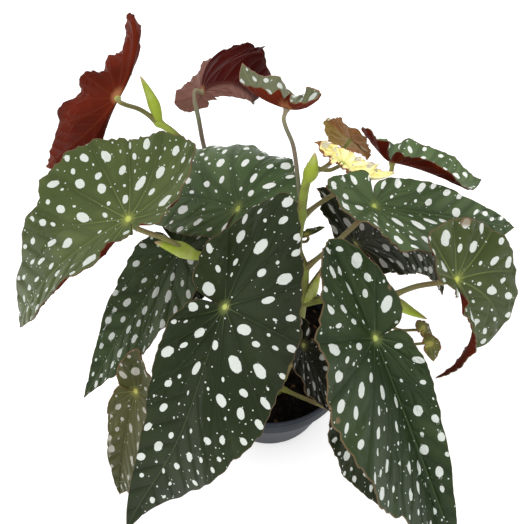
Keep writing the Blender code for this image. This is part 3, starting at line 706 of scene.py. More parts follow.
# %% Upper face
# Each row is (where the layer begins, where it is full, how much it covers); places are in mm
# from the vein, the stalk or the margin, or values of a noise.
SKIN_BLOTCH = (0.35, 0.68)
SKIN_GRAIN = (0.48, 0.8, 0.30)
FOLD_SHADE_BY_VEIN = (3.5, 0.0, 0.42)
RIB_LINE, RIB_NEAR, RIB_FAR = (0.45, 0.06), 0.40, 0.07
MIDRIB_LINE = (0.50, 0.08, 0.26)
SIDE_LINE = (0.45, 0.05, 0.07)
STALK_GLOW, STALK_DISC = (5.0, 1.0, 0.24), (1.9, 0.9)
SPECK_SIZE, SPECK_CHANCE, SPECK_EDGE = 0.19, (0.80, 1.0), (0.0, 0.06)
CRACKLE_LINE, SPOT_COVER = (0.0, 0.16), 0.96
DRY_BLOTCH, DRY_RIM, DRY_COVER, DRY_BROWN = (0.71, 0.74), (5.0, 2.5), 0.8, (0.19, 0.125, 0.07)
MARGIN_LINE = (0.60, 0.20)
VEIN_GROOVE, NET_GROOVE = (0.0, 1.4), (0.0, 0.25, 0.22)


def upper_face(name, deep, fresh, vein, glow, margin, silver, specks=1.0, shine=0.12,
               rib_fade=16.0):
    """Green skin with folds, pale veins, silver spots and specks, dry patches and a thin margin."""
    mat, shader, node = new_material(name)
    coords = node("ShaderNodeTexCoord").outputs["Object"]
    flat, from_rim = field(node, "flat_spots", "Vector"), field(node, "rim")
    radius, rib, midrib, side = vein_distances(node)
    slow, fine = noise(node, coords, 24.0, 3.0), noise(node, coords, 900.0)
    green = mixed(node, grade(node, slow, *SKIN_BLOTCH), rgb(*deep), rgb(*fresh))
    green = mixed(node, grade(node, fine, *SKIN_GRAIN), green, rgb(*fresh))
    # The leaf's factor scales the green; it is partly painted light and shade.
    green = node("ShaderNodeVectorMath", {0: green, "Scale": field(node, "tone")},
                 operation="SCALE").outputs["Vector"]
    press = maths(node, "MINIMUM", maths(node, "MINIMUM", rib, midrib), side)
    # Painted shade: the skin is darkened in the folds beside the veins.
    green = mixed(node, grade(node, press, *FOLD_SHADE_BY_VEIN), green, shaded(deep, 0.7))
    near = grade(node, radius, rib_fade, 1.0)
    rib_line = grade(node, rib, *RIB_LINE, maths(node, "MULTIPLY_ADD", near, RIB_NEAR, RIB_FAR))
    lines = maths(node, "MAXIMUM", rib_line, grade(node, midrib, *MIDRIB_LINE))
    lines = maths(node, "MAXIMUM", lines, grade(node, side, *SIDE_LINE))
    green = mixed(node, lines, green, rgb(*vein))
    green = mixed(node, grade(node, radius, *STALK_GLOW), green, rgb(*glow))
    green = mixed(node, grade(node, radius, *STALK_DISC), green, rgb(*glow))
    dots = cells(node, flat, 0.42)
    chance = node("ShaderNodeSeparateColor", {0: dots["Color"]}).outputs[0]
    size = grade(node, chance, *SPECK_CHANCE, SPECK_SIZE * specks)
    dot = grade(node, maths(node, "SUBTRACT", size, dots["Distance"]), *SPECK_EDGE)
    cover = maths(node, "MAXIMUM", spot_cover(node, flat), dot)
    crackle = cells(node, flat, 2.2, feature="DISTANCE_TO_EDGE")["Distance"]
    grain = mixed(node, grade(node, crackle, *CRACKLE_LINE), shaded(silver, 0.72), rgb(*silver))
    colour = mixed(node, maths(node, "MULTIPLY", cover, SPOT_COVER), green, grain)
    dry = grade(node, noise(node, coords, 55.0), *DRY_BLOTCH, grade(node, from_rim, *DRY_RIM))
    colour = mixed(node, maths(node, "MULTIPLY", dry, DRY_COVER), colour, rgb(*DRY_BROWN))
    colour = mixed(node, grade(node, from_rim, *MARGIN_LINE), colour, rgb(*margin))
    net = cells(node, flat, 0.55, feature="DISTANCE_TO_EDGE")["Distance"]
    height = maths(node, "ADD", grade(node, press, *VEIN_GROOVE), grade(node, net, *NET_GROOVE))
    height = maths(node, "MULTIPLY_ADD", fine, 0.16, height)
    roughness = maths(node, "MULTIPLY_ADD", fine, 0.12, 0.40)
    return finished(mat, shader, node, colour, roughness, height, 0.45, 0.0005, shine)


print("upper face: margin", MARGIN_LINE[0], "mm wide; midrib line", 2 * MIDRIB_LINE[0], "mm")

# %% Upper finishes
TAN = (0.11, 0.08, 0.04)
SILVER = (0.62, 0.66, 0.61)
# The next two greys are painted shade and painted light on the spots' silver.
SHADED_SILVER = (0.36, 0.36, 0.33)
LIT_SILVER = (0.88, 0.91, 0.86)
UPPER = {
    "dark": upper_face("leaf_upper_dark", (0.011, 0.018, 0.005), (0.021, 0.031, 0.010),
                       (0.10, 0.15, 0.05), (0.42, 0.46, 0.13), TAN, SILVER),
    "bluish": upper_face("leaf_upper_bluish", (0.014, 0.025, 0.008), (0.028, 0.044, 0.015),
                         (0.10, 0.16, 0.06), (0.40, 0.46, 0.13), TAN, SILVER),
    "green": upper_face("leaf_upper_green", (0.026, 0.042, 0.014), (0.044, 0.066, 0.024),
                        (0.13, 0.18, 0.06), (0.42, 0.48, 0.12), TAN, SILVER),
    "olive": upper_face("leaf_upper_olive", (0.040, 0.056, 0.014), (0.068, 0.088, 0.026),
                        (0.20, 0.25, 0.07), (0.45, 0.48, 0.10), TAN, SILVER, rib_fade=36.0),
    # Painted glare: this green is pale because it stands in for the strong light on the leaf.
    "pale": upper_face("leaf_upper_lit_pale", (0.12, 0.13, 0.065), (0.19, 0.20, 0.12),
                       (0.22, 0.24, 0.10), (0.45, 0.48, 0.16), (0.30, 0.14, 0.09), SILVER),
    # Painted shade: a darker copy of the green for leaves deep in the plant, its spots shaded to
    # match.
    "shaded": upper_face("leaf_upper_shaded", (0.006, 0.008, 0.003), (0.014, 0.016, 0.007),
                         (0.05, 0.06, 0.02), (0.25, 0.26, 0.08), TAN, SHADED_SILVER, shine=0.03),
    # Painted light: the same green with brighter silver spots, for leaves that catch the most light.
    "lit": upper_face("leaf_upper_lit", (0.026, 0.043, 0.016), (0.046, 0.068, 0.027),
                      (0.13, 0.18, 0.06), (0.42, 0.48, 0.12), TAN, LIT_SILVER),
    "bronze": upper_face("leaf_upper_bronze", (0.050, 0.055, 0.014), (0.085, 0.085, 0.026),
                         (0.18, 0.18, 0.06), (0.42, 0.40, 0.10), (0.22, 0.09, 0.045),
                         (0.40, 0.38, 0.33)),
    "gold": upper_face("leaf_upper_gold", (0.27, 0.235, 0.09), (0.43, 0.41, 0.22),
                       (0.50, 0.56, 0.14), (0.50, 0.55, 0.14), (0.50, 0.22, 0.14),
                       (0.80, 0.76, 0.62), specks=1.7),
}


print("upper finishes:", ", ".join(UPPER))

# %% Underside
# The same kinds of rows as above, for the ribs that stand out below.
UNDER_RIB, UNDER_MIDRIB, UNDER_SIDE, UNDER_COVER = (0.9, 0.2), (1.0, 0.3), (0.7, 0.1, 0.7), 0.22
UNDER_DISC, DISC_BROWN = (4.5, 1.0), (0.30, 0.12, 0.05)
# Light comes through from some mm behind the stalk (times BACK_SHARE) or into the narrow half.
THIN_PART, BACK_SHARE, THIN_UNEVEN = (2.5, 8.0, 0.9), -1.2, 6.0


def under_face(name, deep, fresh, vein, pale=None):
    """Red-brown underside; pale tints the back lobe and the narrow half, where light gets in."""
    mat, shader, node = new_material(name)
    coords = node("ShaderNodeTexCoord").outputs["Object"]
    slow, fine = noise(node, coords, 30.0, 4.0), noise(node, coords, 700.0)
    red = mixed(node, grade(node, slow, *SKIN_BLOTCH), rgb(*deep), rgb(*fresh))
    radius, rib, midrib, side = vein_distances(node)
    if pale:
        place = node("ShaderNodeSeparateXYZ", {0: field(node, "flat_leaf", "Vector")}).outputs
        lower = maths(node, "MAXIMUM", maths(node, "MULTIPLY", place["X"], BACK_SHARE),
                      maths(node, "MULTIPLY", place["Y"], -1.0))
        thin = grade(node, maths(node, "MULTIPLY_ADD", slow, THIN_UNEVEN, lower), *THIN_PART)
        red = mixed(node, thin, red, rgb(*pale))
    lines = maths(node, "MAXIMUM", grade(node, rib, *UNDER_RIB), grade(node, midrib, *UNDER_MIDRIB))
    lines = maths(node, "MAXIMUM", lines, grade(node, side, *UNDER_SIDE))
    red = mixed(node, maths(node, "MULTIPLY", lines, UNDER_COVER), red, rgb(*vein))
    red = mixed(node, grade(node, radius, *UNDER_DISC), red, rgb(*DISC_BROWN))
    height = maths(node, "MULTIPLY_ADD", fine, 0.25, lines)
    roughness = maths(node, "MULTIPLY_ADD", fine, 0.15, 0.43)
    return finished(mat, shader, node, red, roughness, height, 0.5, 0.0006, 0.03)


UNDER = {
    "rust": under_face("leaf_under_rust", (0.060, 0.006, 0.002), (0.118, 0.013, 0.004),
                       (0.16, 0.030, 0.010)),
    # Wine is a darker red, partly painted shade for the undersides deep inside the plant.
    "wine": under_face("leaf_under_wine", (0.030, 0.006, 0.004), (0.060, 0.012, 0.008),
                       (0.09, 0.03, 0.02)),
    "maroon": under_face("leaf_under_maroon", (0.024, 0.0012, 0.0006), (0.046, 0.0028, 0.0015),
                         (0.11, 0.025, 0.018), pale=(0.21, 0.10, 0.078)),
    "peach": under_face("leaf_under_peach", (0.28, 0.16, 0.025), (0.40, 0.26, 0.045),
                        (0.50, 0.38, 0.14), pale=(0.36, 0.15, 0.05)),
}
EDGE = under_face("leaf_margin", (0.09, 0.06, 0.03), (0.15, 0.10, 0.05), TAN)
print("leaf finishes:", len(UPPER) + len(UNDER) + 1)

# %% [markdown]
# ## Building the blades
#
# The mesh is a wheel: spokes run from the stalk to points spread evenly along the outline, and
# rings cross them, closer together near the margin. Both faces use the same wheel, one thickness
# apart, and a rim closes them. Everything that the finish needs is worked out once for each
# vertex: its place on the flat leaf, its nearest spot, and its distance from the margin. The two
# young leaves are still unfolding, so theirs is a crumpled, frilly surface.

# %% Numbers for the blades
# The blade's thickness in mm, its numbers of spokes and rings, and how the rings are spaced.
THICK = 0.5
FINENESS = {"large": (190, 74), "medium": (130, 46), "small": (60, 18)}
HUB_SHARE, CROWDED = 0.012, 0.18
# Tiny teeth: waves as for the scallops, their share of the reach, degrees kept calm by the tip.
TEETH, TOOTH_SHARE, TOOTH_CALM = ((1.0, 61, 3), (0.8, 37, 5)), 0.009, 12
# Height of the puffing between veins and the width it needs to rise, in mm; how round it is.
USUAL_RELIEF, PUFF_WIDTH, PUFF_ROUND = 0.85, 5.5, 0.7
RELIEF = {"leaf_back_left": 1.5, "leaf_back_centre": 1.5, "leaf_left": 1.1}
FRILL = 0.5
CRUMPLE = {"leaf_young_crumpled": 1.8, "leaf_young_pale": 0.5}
# For each leaf: the upper finish, the underside's finish, and a factor on the green.
# The factor is partly each leaf's own tone and partly painted light and shade on that leaf.
LOOKS = {
    "leaf_front_left": ("dark", "rust", 1.0), "leaf_front_right": ("bluish", "rust", 1.22),
    "leaf_left": ("olive", "rust", 1.24), "leaf_upper_centre": ("lit", "wine", 2.1),
    "leaf_left_low": ("green", "wine", 1.1), "leaf_right_mid": ("lit", "wine", 1.8),
    "leaf_right": ("olive", "rust", 1.03), "leaf_back_left": ("green", "rust", 1.0),
    "leaf_back_centre": ("green", "maroon", 1.0), "leaf_shaded_right": ("shaded", "wine", 2.0),
    "leaf_shaded_left": ("shaded", "wine", 1.0),
    "leaf_back_right": ("pale", "rust", 1.0), "leaf_right_top": ("lit", "rust", 2.5),
    "leaf_low_centre": ("shaded", "wine", 0.8), "leaf_low_right": ("dark", "wine", 0.9),
    "leaf_low_left": ("bronze", "wine", 0.9), "leaf_young_pale": ("gold", "peach", 1.0),
    "leaf_young_crumpled": ("gold", "peach", 4.6), "leaf_sprig": ("olive", "rust", 1.0),
    "leaf_small_upper": ("bronze", "rust", 2.3), "leaf_small_lower": ("bronze", "rust", 2.3),
}


print("looks chosen for", len(LOOKS), "leaves")

# %% The wheel of a blade
def spoke_angles(leaf, count):
    """Angles that share the outline's length evenly, one of them at the tip, one at the sinus."""
    fine = np.linspace(0, 360, 2881)
    r = edge_reach(leaf, fine)
    x, y = flat_shape(leaf, r * np.cos(np.radians(fine)), r * np.sin(np.radians(fine)))
    run = np.concatenate([[0], np.cumsum(np.hypot(np.diff(x), np.diff(y)))])
    angles = np.interp(np.linspace(0, run[-1], count + 1)[:-1], run, fine)
    angles[np.argmin(np.abs(angles - SINUS))] = SINUS
    return angles


def wheel_faces(count, rings):
    """Triangles of both faces and the rim, for a hub, rings + 1 circles, and the same below."""
    layer = 1 + count * (rings + 1)
    k = np.arange(count)
    m = (k + 1) % count
    tris = [np.stack([np.zeros(count, int), 1 + k, 1 + m], -1)]
    for r in range(rings):
        p, q = 1 + r * count + k, 1 + r * count + m
        tris += [np.stack([p, p + count, q + count], -1), np.stack([p, q + count, q], -1)]
    top = np.concatenate(tris)
    p, q = layer - count + k, layer - count + m
    rim = np.concatenate([np.stack([p, p + layer, q + layer], -1), np.stack([p, q + layer, q], -1)])
    kinds = np.concatenate([np.zeros(len(top)), np.ones(len(top)), np.full(len(rim), 2)])
    return np.concatenate([top, top[:, ::-1] + layer, rim]), kinds.astype(np.int32)


print("triangles of a medium wheel:", len(wheel_faces(*FINENESS["medium"])[0]))

# %% One blade
def store(mesh, name, values):
    """Keep one number or one vector for each vertex; both faces of the blade get the same."""
    both = np.concatenate([values, values]).astype(np.float32)
    kind, slot = ("FLOAT", "value") if both.ndim == 1 else ("FLOAT_VECTOR", "vector")
    mesh.attributes.new(name, kind, "POINT").data.foreach_set(slot, both.ravel())


def wheel_points(leaf):
    """Angles in degrees and shares of the reach for the hub and every ring of the wheel."""
    count, rings = FINENESS[leaf["size"]]
    t = np.linspace(0, 1, rings + 1)[1:]
    shares = np.concatenate([[HUB_SHARE], t * (1.0 + CROWDED * (1.0 - t))])
    angle, share = np.meshgrid(spoke_angles(leaf, count), shares)
    return np.concatenate([[0.0], angle.ravel()]), np.concatenate([[0.0], share.ravel()])


def build_blade(name, leaf, seed):
    """The bent, puffed and frilled blade with everything that its finishes look up."""
    angle, share = wheel_points(leaf)
    length, a = leaf["length"], np.radians(angle)
    calm = share ** 6 * np.clip(np.minimum(angle, 360 - angle) / TOOTH_CALM, 0, 1)
    reach = edge_reach(leaf, angle) * share * (1.0 + TOOTH_SHARE * calm * ripple(leaf, a, TEETH))
    x, y = reach * np.cos(a), reach * np.sin(a)
    far = vein_distance(x, y) * length
    puff = np.clip(far / PUFF_WIDTH, 0, 1) ** PUFF_ROUND
    puff *= np.clip(share * 1.3, 0, 1) * min(1.0, length / 60)
    frill = FRILL * min(1.0, length / 80) * share ** 6 * np.sin(31 * a + leaf["phase"])
    rough = CRUMPLE.get(name, 0.0)
    frill = frill + rough * share * np.sin(23 * a + 3 * share) * np.cos(15 * share + 9 * a)
    lift = edge_lift(leaf, angle, share) + RELIEF.get(name, USUAL_RELIEF) * (puff - 0.5) + frill
    place, normal = blade_surface(leaf, x, y, lift)
    fx, fy = (flat * length for flat in flat_shape(leaf, x, y))
    points = np.concatenate([place + normal * THICK / 2, place - normal * THICK / 2]) * MM
    faces, kinds = wheel_faces(*FINENESS[leaf["size"]])
    if leaf["hand"] < 0:
        faces = faces[:, ::-1]
    mesh = bpy.data.meshes.new(name + "_blade")
    mesh.from_pydata(points.tolist(), [], faces.tolist())
    mesh.polygons.foreach_set("material_index", kinds)
    upper, under, tone = LOOKS[name]
    for mat in (UPPER[upper], UNDER[under], EDGE):
        mesh.materials.append(mat)
    depth, middle, halves = nearest_spots(fx, fy, throw_spots(leaf, seed))
    none = np.zeros(len(x))
    store(mesh, "flat_leaf", np.stack([x * length, y * length, none + length], -1))
    store(mesh, "flat_spots", np.stack([fx, fy, none], -1))
    store(mesh, "spot_middle", middle)
    store(mesh, "spot_halves", halves)
    store(mesh, "spot_depth", depth)
    store(mesh, "tone", none + tone)
    store(mesh, "rim", (1.0 - share) * edge_reach(leaf, angle) * length)
    mesh.shade_smooth()
    return add_object(name + "_blade", mesh)


print("points on each face of the largest blade:", len(wheel_points(first)[0]))

# %% Build every blade
blades = {}
triangles = 0
for number, (name, leaf) in enumerate(LEAVES.items()):
    blade = build_blade(name, leaf, seed=11 + number)
    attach(blade, "root")
    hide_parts(name)
    blades[name] = blade
    triangles += len(blade.data.polygons)
print("blades:", len(blades), "triangles:", triangles)
for name in ("leaf_front_left", "leaf_left", "leaf_right_mid"):
    low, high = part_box(name)
    mine = np.array([v.co for v in blades[name].data.vertices])
    print(name, "off its solid by mm", ((mine.min(0) - low) * 1000).round(1),
          ((mine.max(0) - high) * 1000).round(1))

# %% [markdown]
# ## Canes and leaf stalks
#
# A cane is a jointed green stem; each leaf stalk leaves it at a joint. All of them are round bars
# along a curve, with a thickness that changes on the way, so Geometry Nodes skin the curves: a
# circle is swept along each one, scaled by the curve's radius, and the share of the way along is
# kept as an attribute. The finish uses it to go from dull olive at the joint to yellow-green at
# the far end.

# %% Stem finish
STEM_PLACES = (0.0, 0.12, 0.8, 1.0)
BLUSH_BLOTCH, FLECK_DOT, FLECK_TAN = (0.42, 0.66, 0.7), (0.28, 0.16, 0.35), (0.45, 0.42, 0.25)


def stem_finish(name, foot, middle, end, blush):
    """Three colours along the stem, with blotches of blush and small pale flecks."""
    mat, shader, node = new_material(name)
    coords = node("ShaderNodeTexCoord").outputs["Object"]
    slow, fine = noise(node, coords, 70.0, 3.0), noise(node, coords, 700.0)
    stops = [(at, rgb(*colour)) for at, colour in zip(STEM_PLACES, (foot, middle, middle, end))]
    colour = mixed(node, grade(node, slow, *BLUSH_BLOTCH), ramp(node, field(node, "along"), stops),
                   rgb(*blush))
    flecks = node("ShaderNodeTexVoronoi", {"Vector": coords, "Scale": 900.0}).outputs["Distance"]
    colour = mixed(node, grade(node, flecks, *FLECK_DOT), colour, rgb(*FLECK_TAN))
    roughness = maths(node, "ADD", maths(node, "MULTIPLY", fine, 0.2), 0.35)
    return finished(mat, shader, node, colour, roughness, fine, 0.3, 0.0003, 0.1)


CANE_GREEN = stem_finish("cane_green", foot=(0.12, 0.10, 0.035), middle=(0.20, 0.25, 0.045),
                         end=(0.30, 0.38, 0.06), blush=(0.15, 0.14, 0.045))
STALK_GREEN = stem_finish("stalk_olive", foot=(0.22, 0.24, 0.05), middle=(0.18, 0.17, 0.06),
                          end=(0.34, 0.36, 0.10), blush=(0.17, 0.12, 0.055))
STALK_GREY = stem_finish("stalk_grey", foot=(0.15, 0.12, 0.09), middle=(0.16, 0.16, 0.10),
                         end=(0.26, 0.24, 0.13), blush=(0.18, 0.12, 0.10))
BUD_GREEN = stem_finish("bud_green", foot=(0.20, 0.27, 0.015), middle=(0.33, 0.42, 0.045),
                        end=(0.48, 0.34, 0.20), blush=(0.50, 0.56, 0.20))
print("stem finishes ready")


# %% Geometry trees
def new_tree(name, sockets):
    """A geometry tree that takes and gives Geometry; sockets are its other inputs (name, kind)."""
    tree = bpy.data.node_groups.new(name, "GeometryNodeTree")
    for socket, kind in (("Geometry", "Geometry"), *sockets):
        tree.interface.new_socket(socket, in_out="INPUT", socket_type="NodeSocket" + kind)
    tree.interface.new_socket("Geometry", in_out="OUTPUT", socket_type="NodeSocketGeometry")
    return tree


def link_all(tree, wires):
    """Link each row of (node, output, node, input)."""
    for source, output, target, place in wires:
        tree.links.new(source.outputs[output], target.inputs[place])


print("ready to put meshes and curves through geometry trees")

# %% The tree that skins a curve
def skin_tree():
    """Sweeps a circle of Sides corners along curves, scaled by their radius."""
    tree = new_tree("skin_stems", (("Sides", "Int"), ("Finish", "Material")))
    add = tree.nodes.new
    start, end = add("NodeGroupInput"), add("NodeGroupOutput")
    where, radius = add("GeometryNodeSplineParameter"), add("GeometryNodeInputRadius")
    keep = add("GeometryNodeStoreNamedAttribute")
    keep.domain = "POINT"
    keep.inputs["Name"].default_value = "along"
    circle = add("GeometryNodeCurvePrimitiveCircle")
    circle.inputs["Radius"].default_value = 1.0
    sweep = add("GeometryNodeCurveToMesh")
    sweep.inputs["Fill Caps"].default_value = True
    real, paint = add("GeometryNodeRealizeInstances"), add("GeometryNodeSetMaterial")
    link_all(tree, (
        (start, "Geometry", keep, "Geometry"), (where, "Factor", keep, "Value"),
        (keep, "Geometry", sweep, "Curve"), (radius, 0, sweep, "Scale"),
        (start, "Sides", circle, "Resolution"), (circle, "Curve", sweep, "Profile Curve"),
        (sweep, "Mesh", real, "Geometry"), (real, "Geometry", paint, "Geometry"),
        (start, "Finish", paint, "Material"), (paint, "Geometry", end, "Geometry")))
    return tree


SKIN = skin_tree()


def plain_mesh(obj, name):
    """The evaluated object as a plain mesh object; the source object is removed."""
    graph = bpy.context.evaluated_depsgraph_get()
    mesh = bpy.data.meshes.new_from_object(obj.evaluated_get(graph), depsgraph=graph)
    mesh.name = name
    bpy.data.objects.remove(obj, do_unlink=True)
    mesh.shade_smooth()
    return add_object(name, mesh)


def through_tree(name, data, tree, **settings):
    """Put the data through a geometry tree with these settings and keep the plain mesh."""
    obj = add_object(name + "_source", data)
    modifier = obj.modifiers.new("tree", "NODES")
    modifier.node_group = tree
    for item in tree.interface.items_tree:
        if item.in_out == "INPUT" and item.name in settings:
            modifier[item.identifier] = settings[item.name]
    return plain_mesh(obj, name)


def skinned(name, routes, finish, sides=14):
    """Skin a list of routes, each a list of (point in mm, radius in mm)."""
    data = bpy.data.curves.new(name, "CURVE")
    data.dimensions = "3D"
    for route in routes:
        spline = data.splines.new("POLY")
        spline.points.add(len(route) - 1)
        for slot, (p, r) in zip(spline.points, route):
            slot.co = (p[0] * MM, p[1] * MM, p[2] * MM, 1.0)
            slot.radius = r * MM
    return through_tree(name, data, SKIN, Sides=sides, Finish=finish)


print("skin tree nodes:", len(SKIN.nodes))

# %% [markdown]
# The routes repeat the solids' own: where each cane goes, where each leaf stalk leaves it and the
# points it passes. The curve through them heads, at each point, the way its neighbours lie.

# %% Routes of canes and stalks
CANES = {
    "cane_main": dict(
        foot=(14, -8), radii=(2.9, 2.1),
        route=((16, -10, 100), (17.5, -11, 141), (17.5, -7, 173), (13.5, -4, 188), (14.5, -1, 212),
               (15.5, 2, 228), (18, 6, 241))),
    "cane_left": dict(
        foot=(-16, 2), radii=(2.7, 2.3),
        route=((-22, 0, 110), (-27, -6, 155), (-33, -12, 190), (-41, -15, 198))),
    "cane_back": dict(
        foot=(-8, 20), radii=(2.6, 1.9),
        route=((-12, 42, 110), (-34, 68, 165), (-55, 66, 202), (-64, 69, 208))),
    "shoot_front": dict(
        foot=(6, -27), radii=(1.9, 1.4),
        route=((7, -28, 76), (9, -30, 92))),
    "shoot_left": dict(
        foot=(-18, -20), radii=(1.9, 1.4),
        route=((-22, -25, 80), (-32, -38, 102))),
}
BRANCH = dict(route=((17.5, -11, 144), (28, -18, 160), (42, -28, 176), (59, -36, 192)),
              radii=(2.1, 1.8))
STALKS = {
    "leaf_front_left": ("cane_main", (17, -10.5, 118), ((-2, -34, 166),)),
    "leaf_front_right": ("cane_main", (31, -20, 163), ((36, -48, 190),)),
    "leaf_left": ("cane_left", (-41, -15, 197), ((-49, -18, 213),)),
    "leaf_upper_centre": ("cane_left", (-27, -6, 154), ((-23, 1, 182),)),
    "leaf_left_low": ("cane_left", (-22.5, -1, 116), ((-40, 3, 142),)),
    "leaf_right_mid": ("cane_main", (17.5, -7, 173), ((30, -9, 196),)),
    "leaf_right": ("cane_main", (58, -35.5, 191), ((66, -44, 213),)),
    "leaf_back_left": ("cane_back", (-63.5, 69, 208), ((-71, 68, 217),)),
    "leaf_back_centre": ("cane_back", (-21, 53.5, 134), ((-37, 65, 185), (-40, 68, 211))),
    "leaf_shaded_right": ("cane_main", (17.5, -10.5, 150), ((30, 0, 166),)),
    "leaf_shaded_left": ("cane_left", (-20, 1, 95), ((-24, 22, 112),)),
    "leaf_back_right": ("cane_main", (14.5, -1, 211), ((12.3, 3.5, 231), (9.4, 7.8, 251))),
    "leaf_right_top": ("cane_main", (14.5, -1, 210), ((30, 18, 203), (51, 23, 213))),
    "leaf_low_centre": ("shoot_front", (8, -29, 86), ((14, -26, 108),)),
    "leaf_low_right": ("shoot_front", (6.5, -27.5, 70),
                       ((22, -36, 72), (46, -50, 80), (52, -62, 104))),
    "leaf_low_left": ("shoot_left", (-31, -37, 100), ((-52, -54, 130),)),
    "leaf_young_pale": ("cane_main", (17, 4.5, 237), ((30, 40, 203),)),
    "leaf_young_crumpled": ("cane_main", (18, 5.5, 240), ((26, 5, 238),)),
    "leaf_sprig": ("cane_main", (13.5, -2, 190), ((15.5, 0, 188),)),
    "leaf_small_upper": ("cane_main", (45, -30, 179), ((62, -43, 173),)),
    "leaf_small_lower": ("cane_main", (43, -29, 177), ((61, -44, 170), (70, -47, 164))),
}
# Joints of the canes: where they are, and the radius that the cane swells to.
RINGS = (
    ((16.7, -10.5, 118), 3.3),
    ((17.5, -10.4, 146), 3.2),
    ((17.4, -6.6, 174), 3.2),
    ((14.5, -1, 211), 2.9),
    ((57.6, -35.3, 191), 2.8),
    ((-27, -6, 154), 3.0),
    ((-40, -14.7, 197), 2.9),
    ((-21, 53.5, 134), 2.9),
    ((-62.5, 68.2, 207), 2.7),
)
GREY_STALKS = ("leaf_back_centre", "leaf_back_right")
print("canes:", len(CANES), "stalks:", len(STALKS), "joints:", len(RINGS))

# %% Curves for canes and stalks
# Heights in mm where a cane starts, inside the soil, and where it stops going straight up.
CANE_FOOT, CANE_RISE = 46.3, 67.0
SWELL_LENGTH = 2.2
# A stalk's radius, how far under the middle of its blade it ends, and its straight last stretch.
STALK_RADIUS, STALK_UNDER, STALK_STRAIGHT = 1.25, 0.55, 5.0
# How much a stalk widens where it meets the blade and where it leaves the cane: mm, steps.
BLADE_FLARE, CANE_FLARE = (0.7, 2.5), (0.9, 3.0)


def smooth_route(points, per_span):
    """A curve through the points that heads, at each one, the way its neighbours lie."""
    pts = [Vector(p) for p in points]
    pts = [pts[0] * 2 - pts[1]] + pts + [pts[-1] * 2 - pts[-2]]
    out = []
    for a, b, c, d in zip(pts, pts[1:], pts[2:], pts[3:]):
        span = (c - b).length
        leave = (c - a).normalized() * span
        arrive = (d - b).normalized() * span
        for i in range(per_span):
            t = i / per_span
            p = b * (2 * t ** 3 - 3 * t ** 2 + 1) + c * (3 * t ** 2 - 2 * t ** 3)
            out.append(p + leave * (t ** 3 - 2 * t ** 2 + t) + arrive * (t ** 3 - t ** 2))
    return out + [pts[-2]]


def tapered(path, radii):
    """The points of a path, each with a radius that goes evenly from the first to the last."""
    first, last = radii
    return [(p, first + (last - first) * i / (len(path) - 1)) for i, p in enumerate(path)]


def cane_route(cane):
    """Straight out of the soil, then through the route, with a swelling at each joint."""
    x, y = cane["foot"]
    path = [Vector((x, y, CANE_FOOT))] + smooth_route(((x, y, CANE_RISE),) + cane["route"], 12)
    out = []
    for p, r in tapered(path, cane["radii"]):
        for centre, ring in RINGS:
            away = (p - Vector(centre)).length
            r += max(0.0, ring - r) * np.exp(-(away / SWELL_LENGTH) ** 2)
        out.append((p, r))
    return out


def stalk_route(name, start, via):
    """Comes up to the underside of its blade along the blade's normal and widens into it."""
    leaf = LEAVES[name]
    up = Vector(leaf_axes(leaf)[2])
    end = Vector(leaf["at"]) - up * STALK_UNDER
    path = smooth_route((start,) + via + (end - up * STALK_STRAIGHT, end), 10)
    thin = min(1.0, 0.55 + leaf["length"] / 140)
    out = []
    for i, p in enumerate(path):
        t = i / (len(path) - 1)
        r = STALK_RADIUS * thin * (1.12 - 0.2 * t)
        for (wider, steps), far in ((BLADE_FLARE, 1 - t), (CANE_FLARE, t)):
            r += wider * np.exp(-(far * len(path) / steps) ** 2)
        out.append((p, r))
    return out


print("points along the main cane:", len(cane_route(CANES["cane_main"])))

# %% Skin the canes and stalks
def join_into(name, parts):
    """Join mesh objects into one, keeping their finishes."""
    with bpy.context.temp_override(active_object=parts[0], object=parts[0],
                                   selected_objects=parts, selected_editable_objects=parts):
        bpy.ops.object.join()
    parts[0].name = name
    parts[0].data.name = name
    return parts[0]


stems = {}
for cane_name, cane in CANES.items():
    routes = [cane_route(cane)]
    if cane_name == "cane_main":
        routes.append(tapered(smooth_route(BRANCH["route"], 10), BRANCH["radii"]))
    stems[cane_name] = [skinned(cane_name + "_stem", routes, CANE_GREEN, sides=18)]
    for look, finish in (("_stalks", STALK_GREEN), ("_grey", STALK_GREY)):
        stalks = [stalk_route(leaf, start, via) for leaf, (owner, start, via) in STALKS.items()
                  if owner == cane_name and (leaf in GREY_STALKS) == (look == "_grey")]
        if stalks:
            stems[cane_name].append(skinned(cane_name + look, stalks, finish))
print("stem pieces:", sum(len(p) for p in stems.values()))

# %% [markdown]
# ## Sheaths
#
# Some joints still wear the papery sheath that once wrapped a bud: plump and light green with a
# dry tan tip, a little flattened, with a crease along each side. They are turned like a spindle
# and then squashed and creased by moving the rings' points.

# %% One sheath
# Each sheath's cane, foot, tip, radius in mm, and the share of its length where it is widest.
BUDS = (
    ("cane_main", (16.3, 3.8, 231), (19.5, 7, 248), 3.7, 0.4),
    ("cane_main", (16.5, -7.5, 168), (11.5, -5.5, 190), 3.3, 0.45),
    ("cane_main", (19, -12, 145), (26, -9, 173), 3.4, 0.4),
    ("cane_main", (56, -34, 190), (76, -45.5, 186), 3.0, 0.4),
    ("cane_left", (-37.5, -13.3, 194), (-56, -21.5, 217), 4.3, 0.4),
    ("cane_back", (-61.5, 68, 207), (-70, 77, 233), 3.3, 0.4),
)
FOOT_SHARE, TIP_ROUND, TIP_RADIUS = 0.45, 0.75, 0.12
BEND, FLATTENED = 0.9, 0.86
# Creases: depth as a share of the radius, place round the sheath and width, both in radians.
CREASES = ((0.13, 1.2, 0.22), (0.08, 4.3, 0.2))


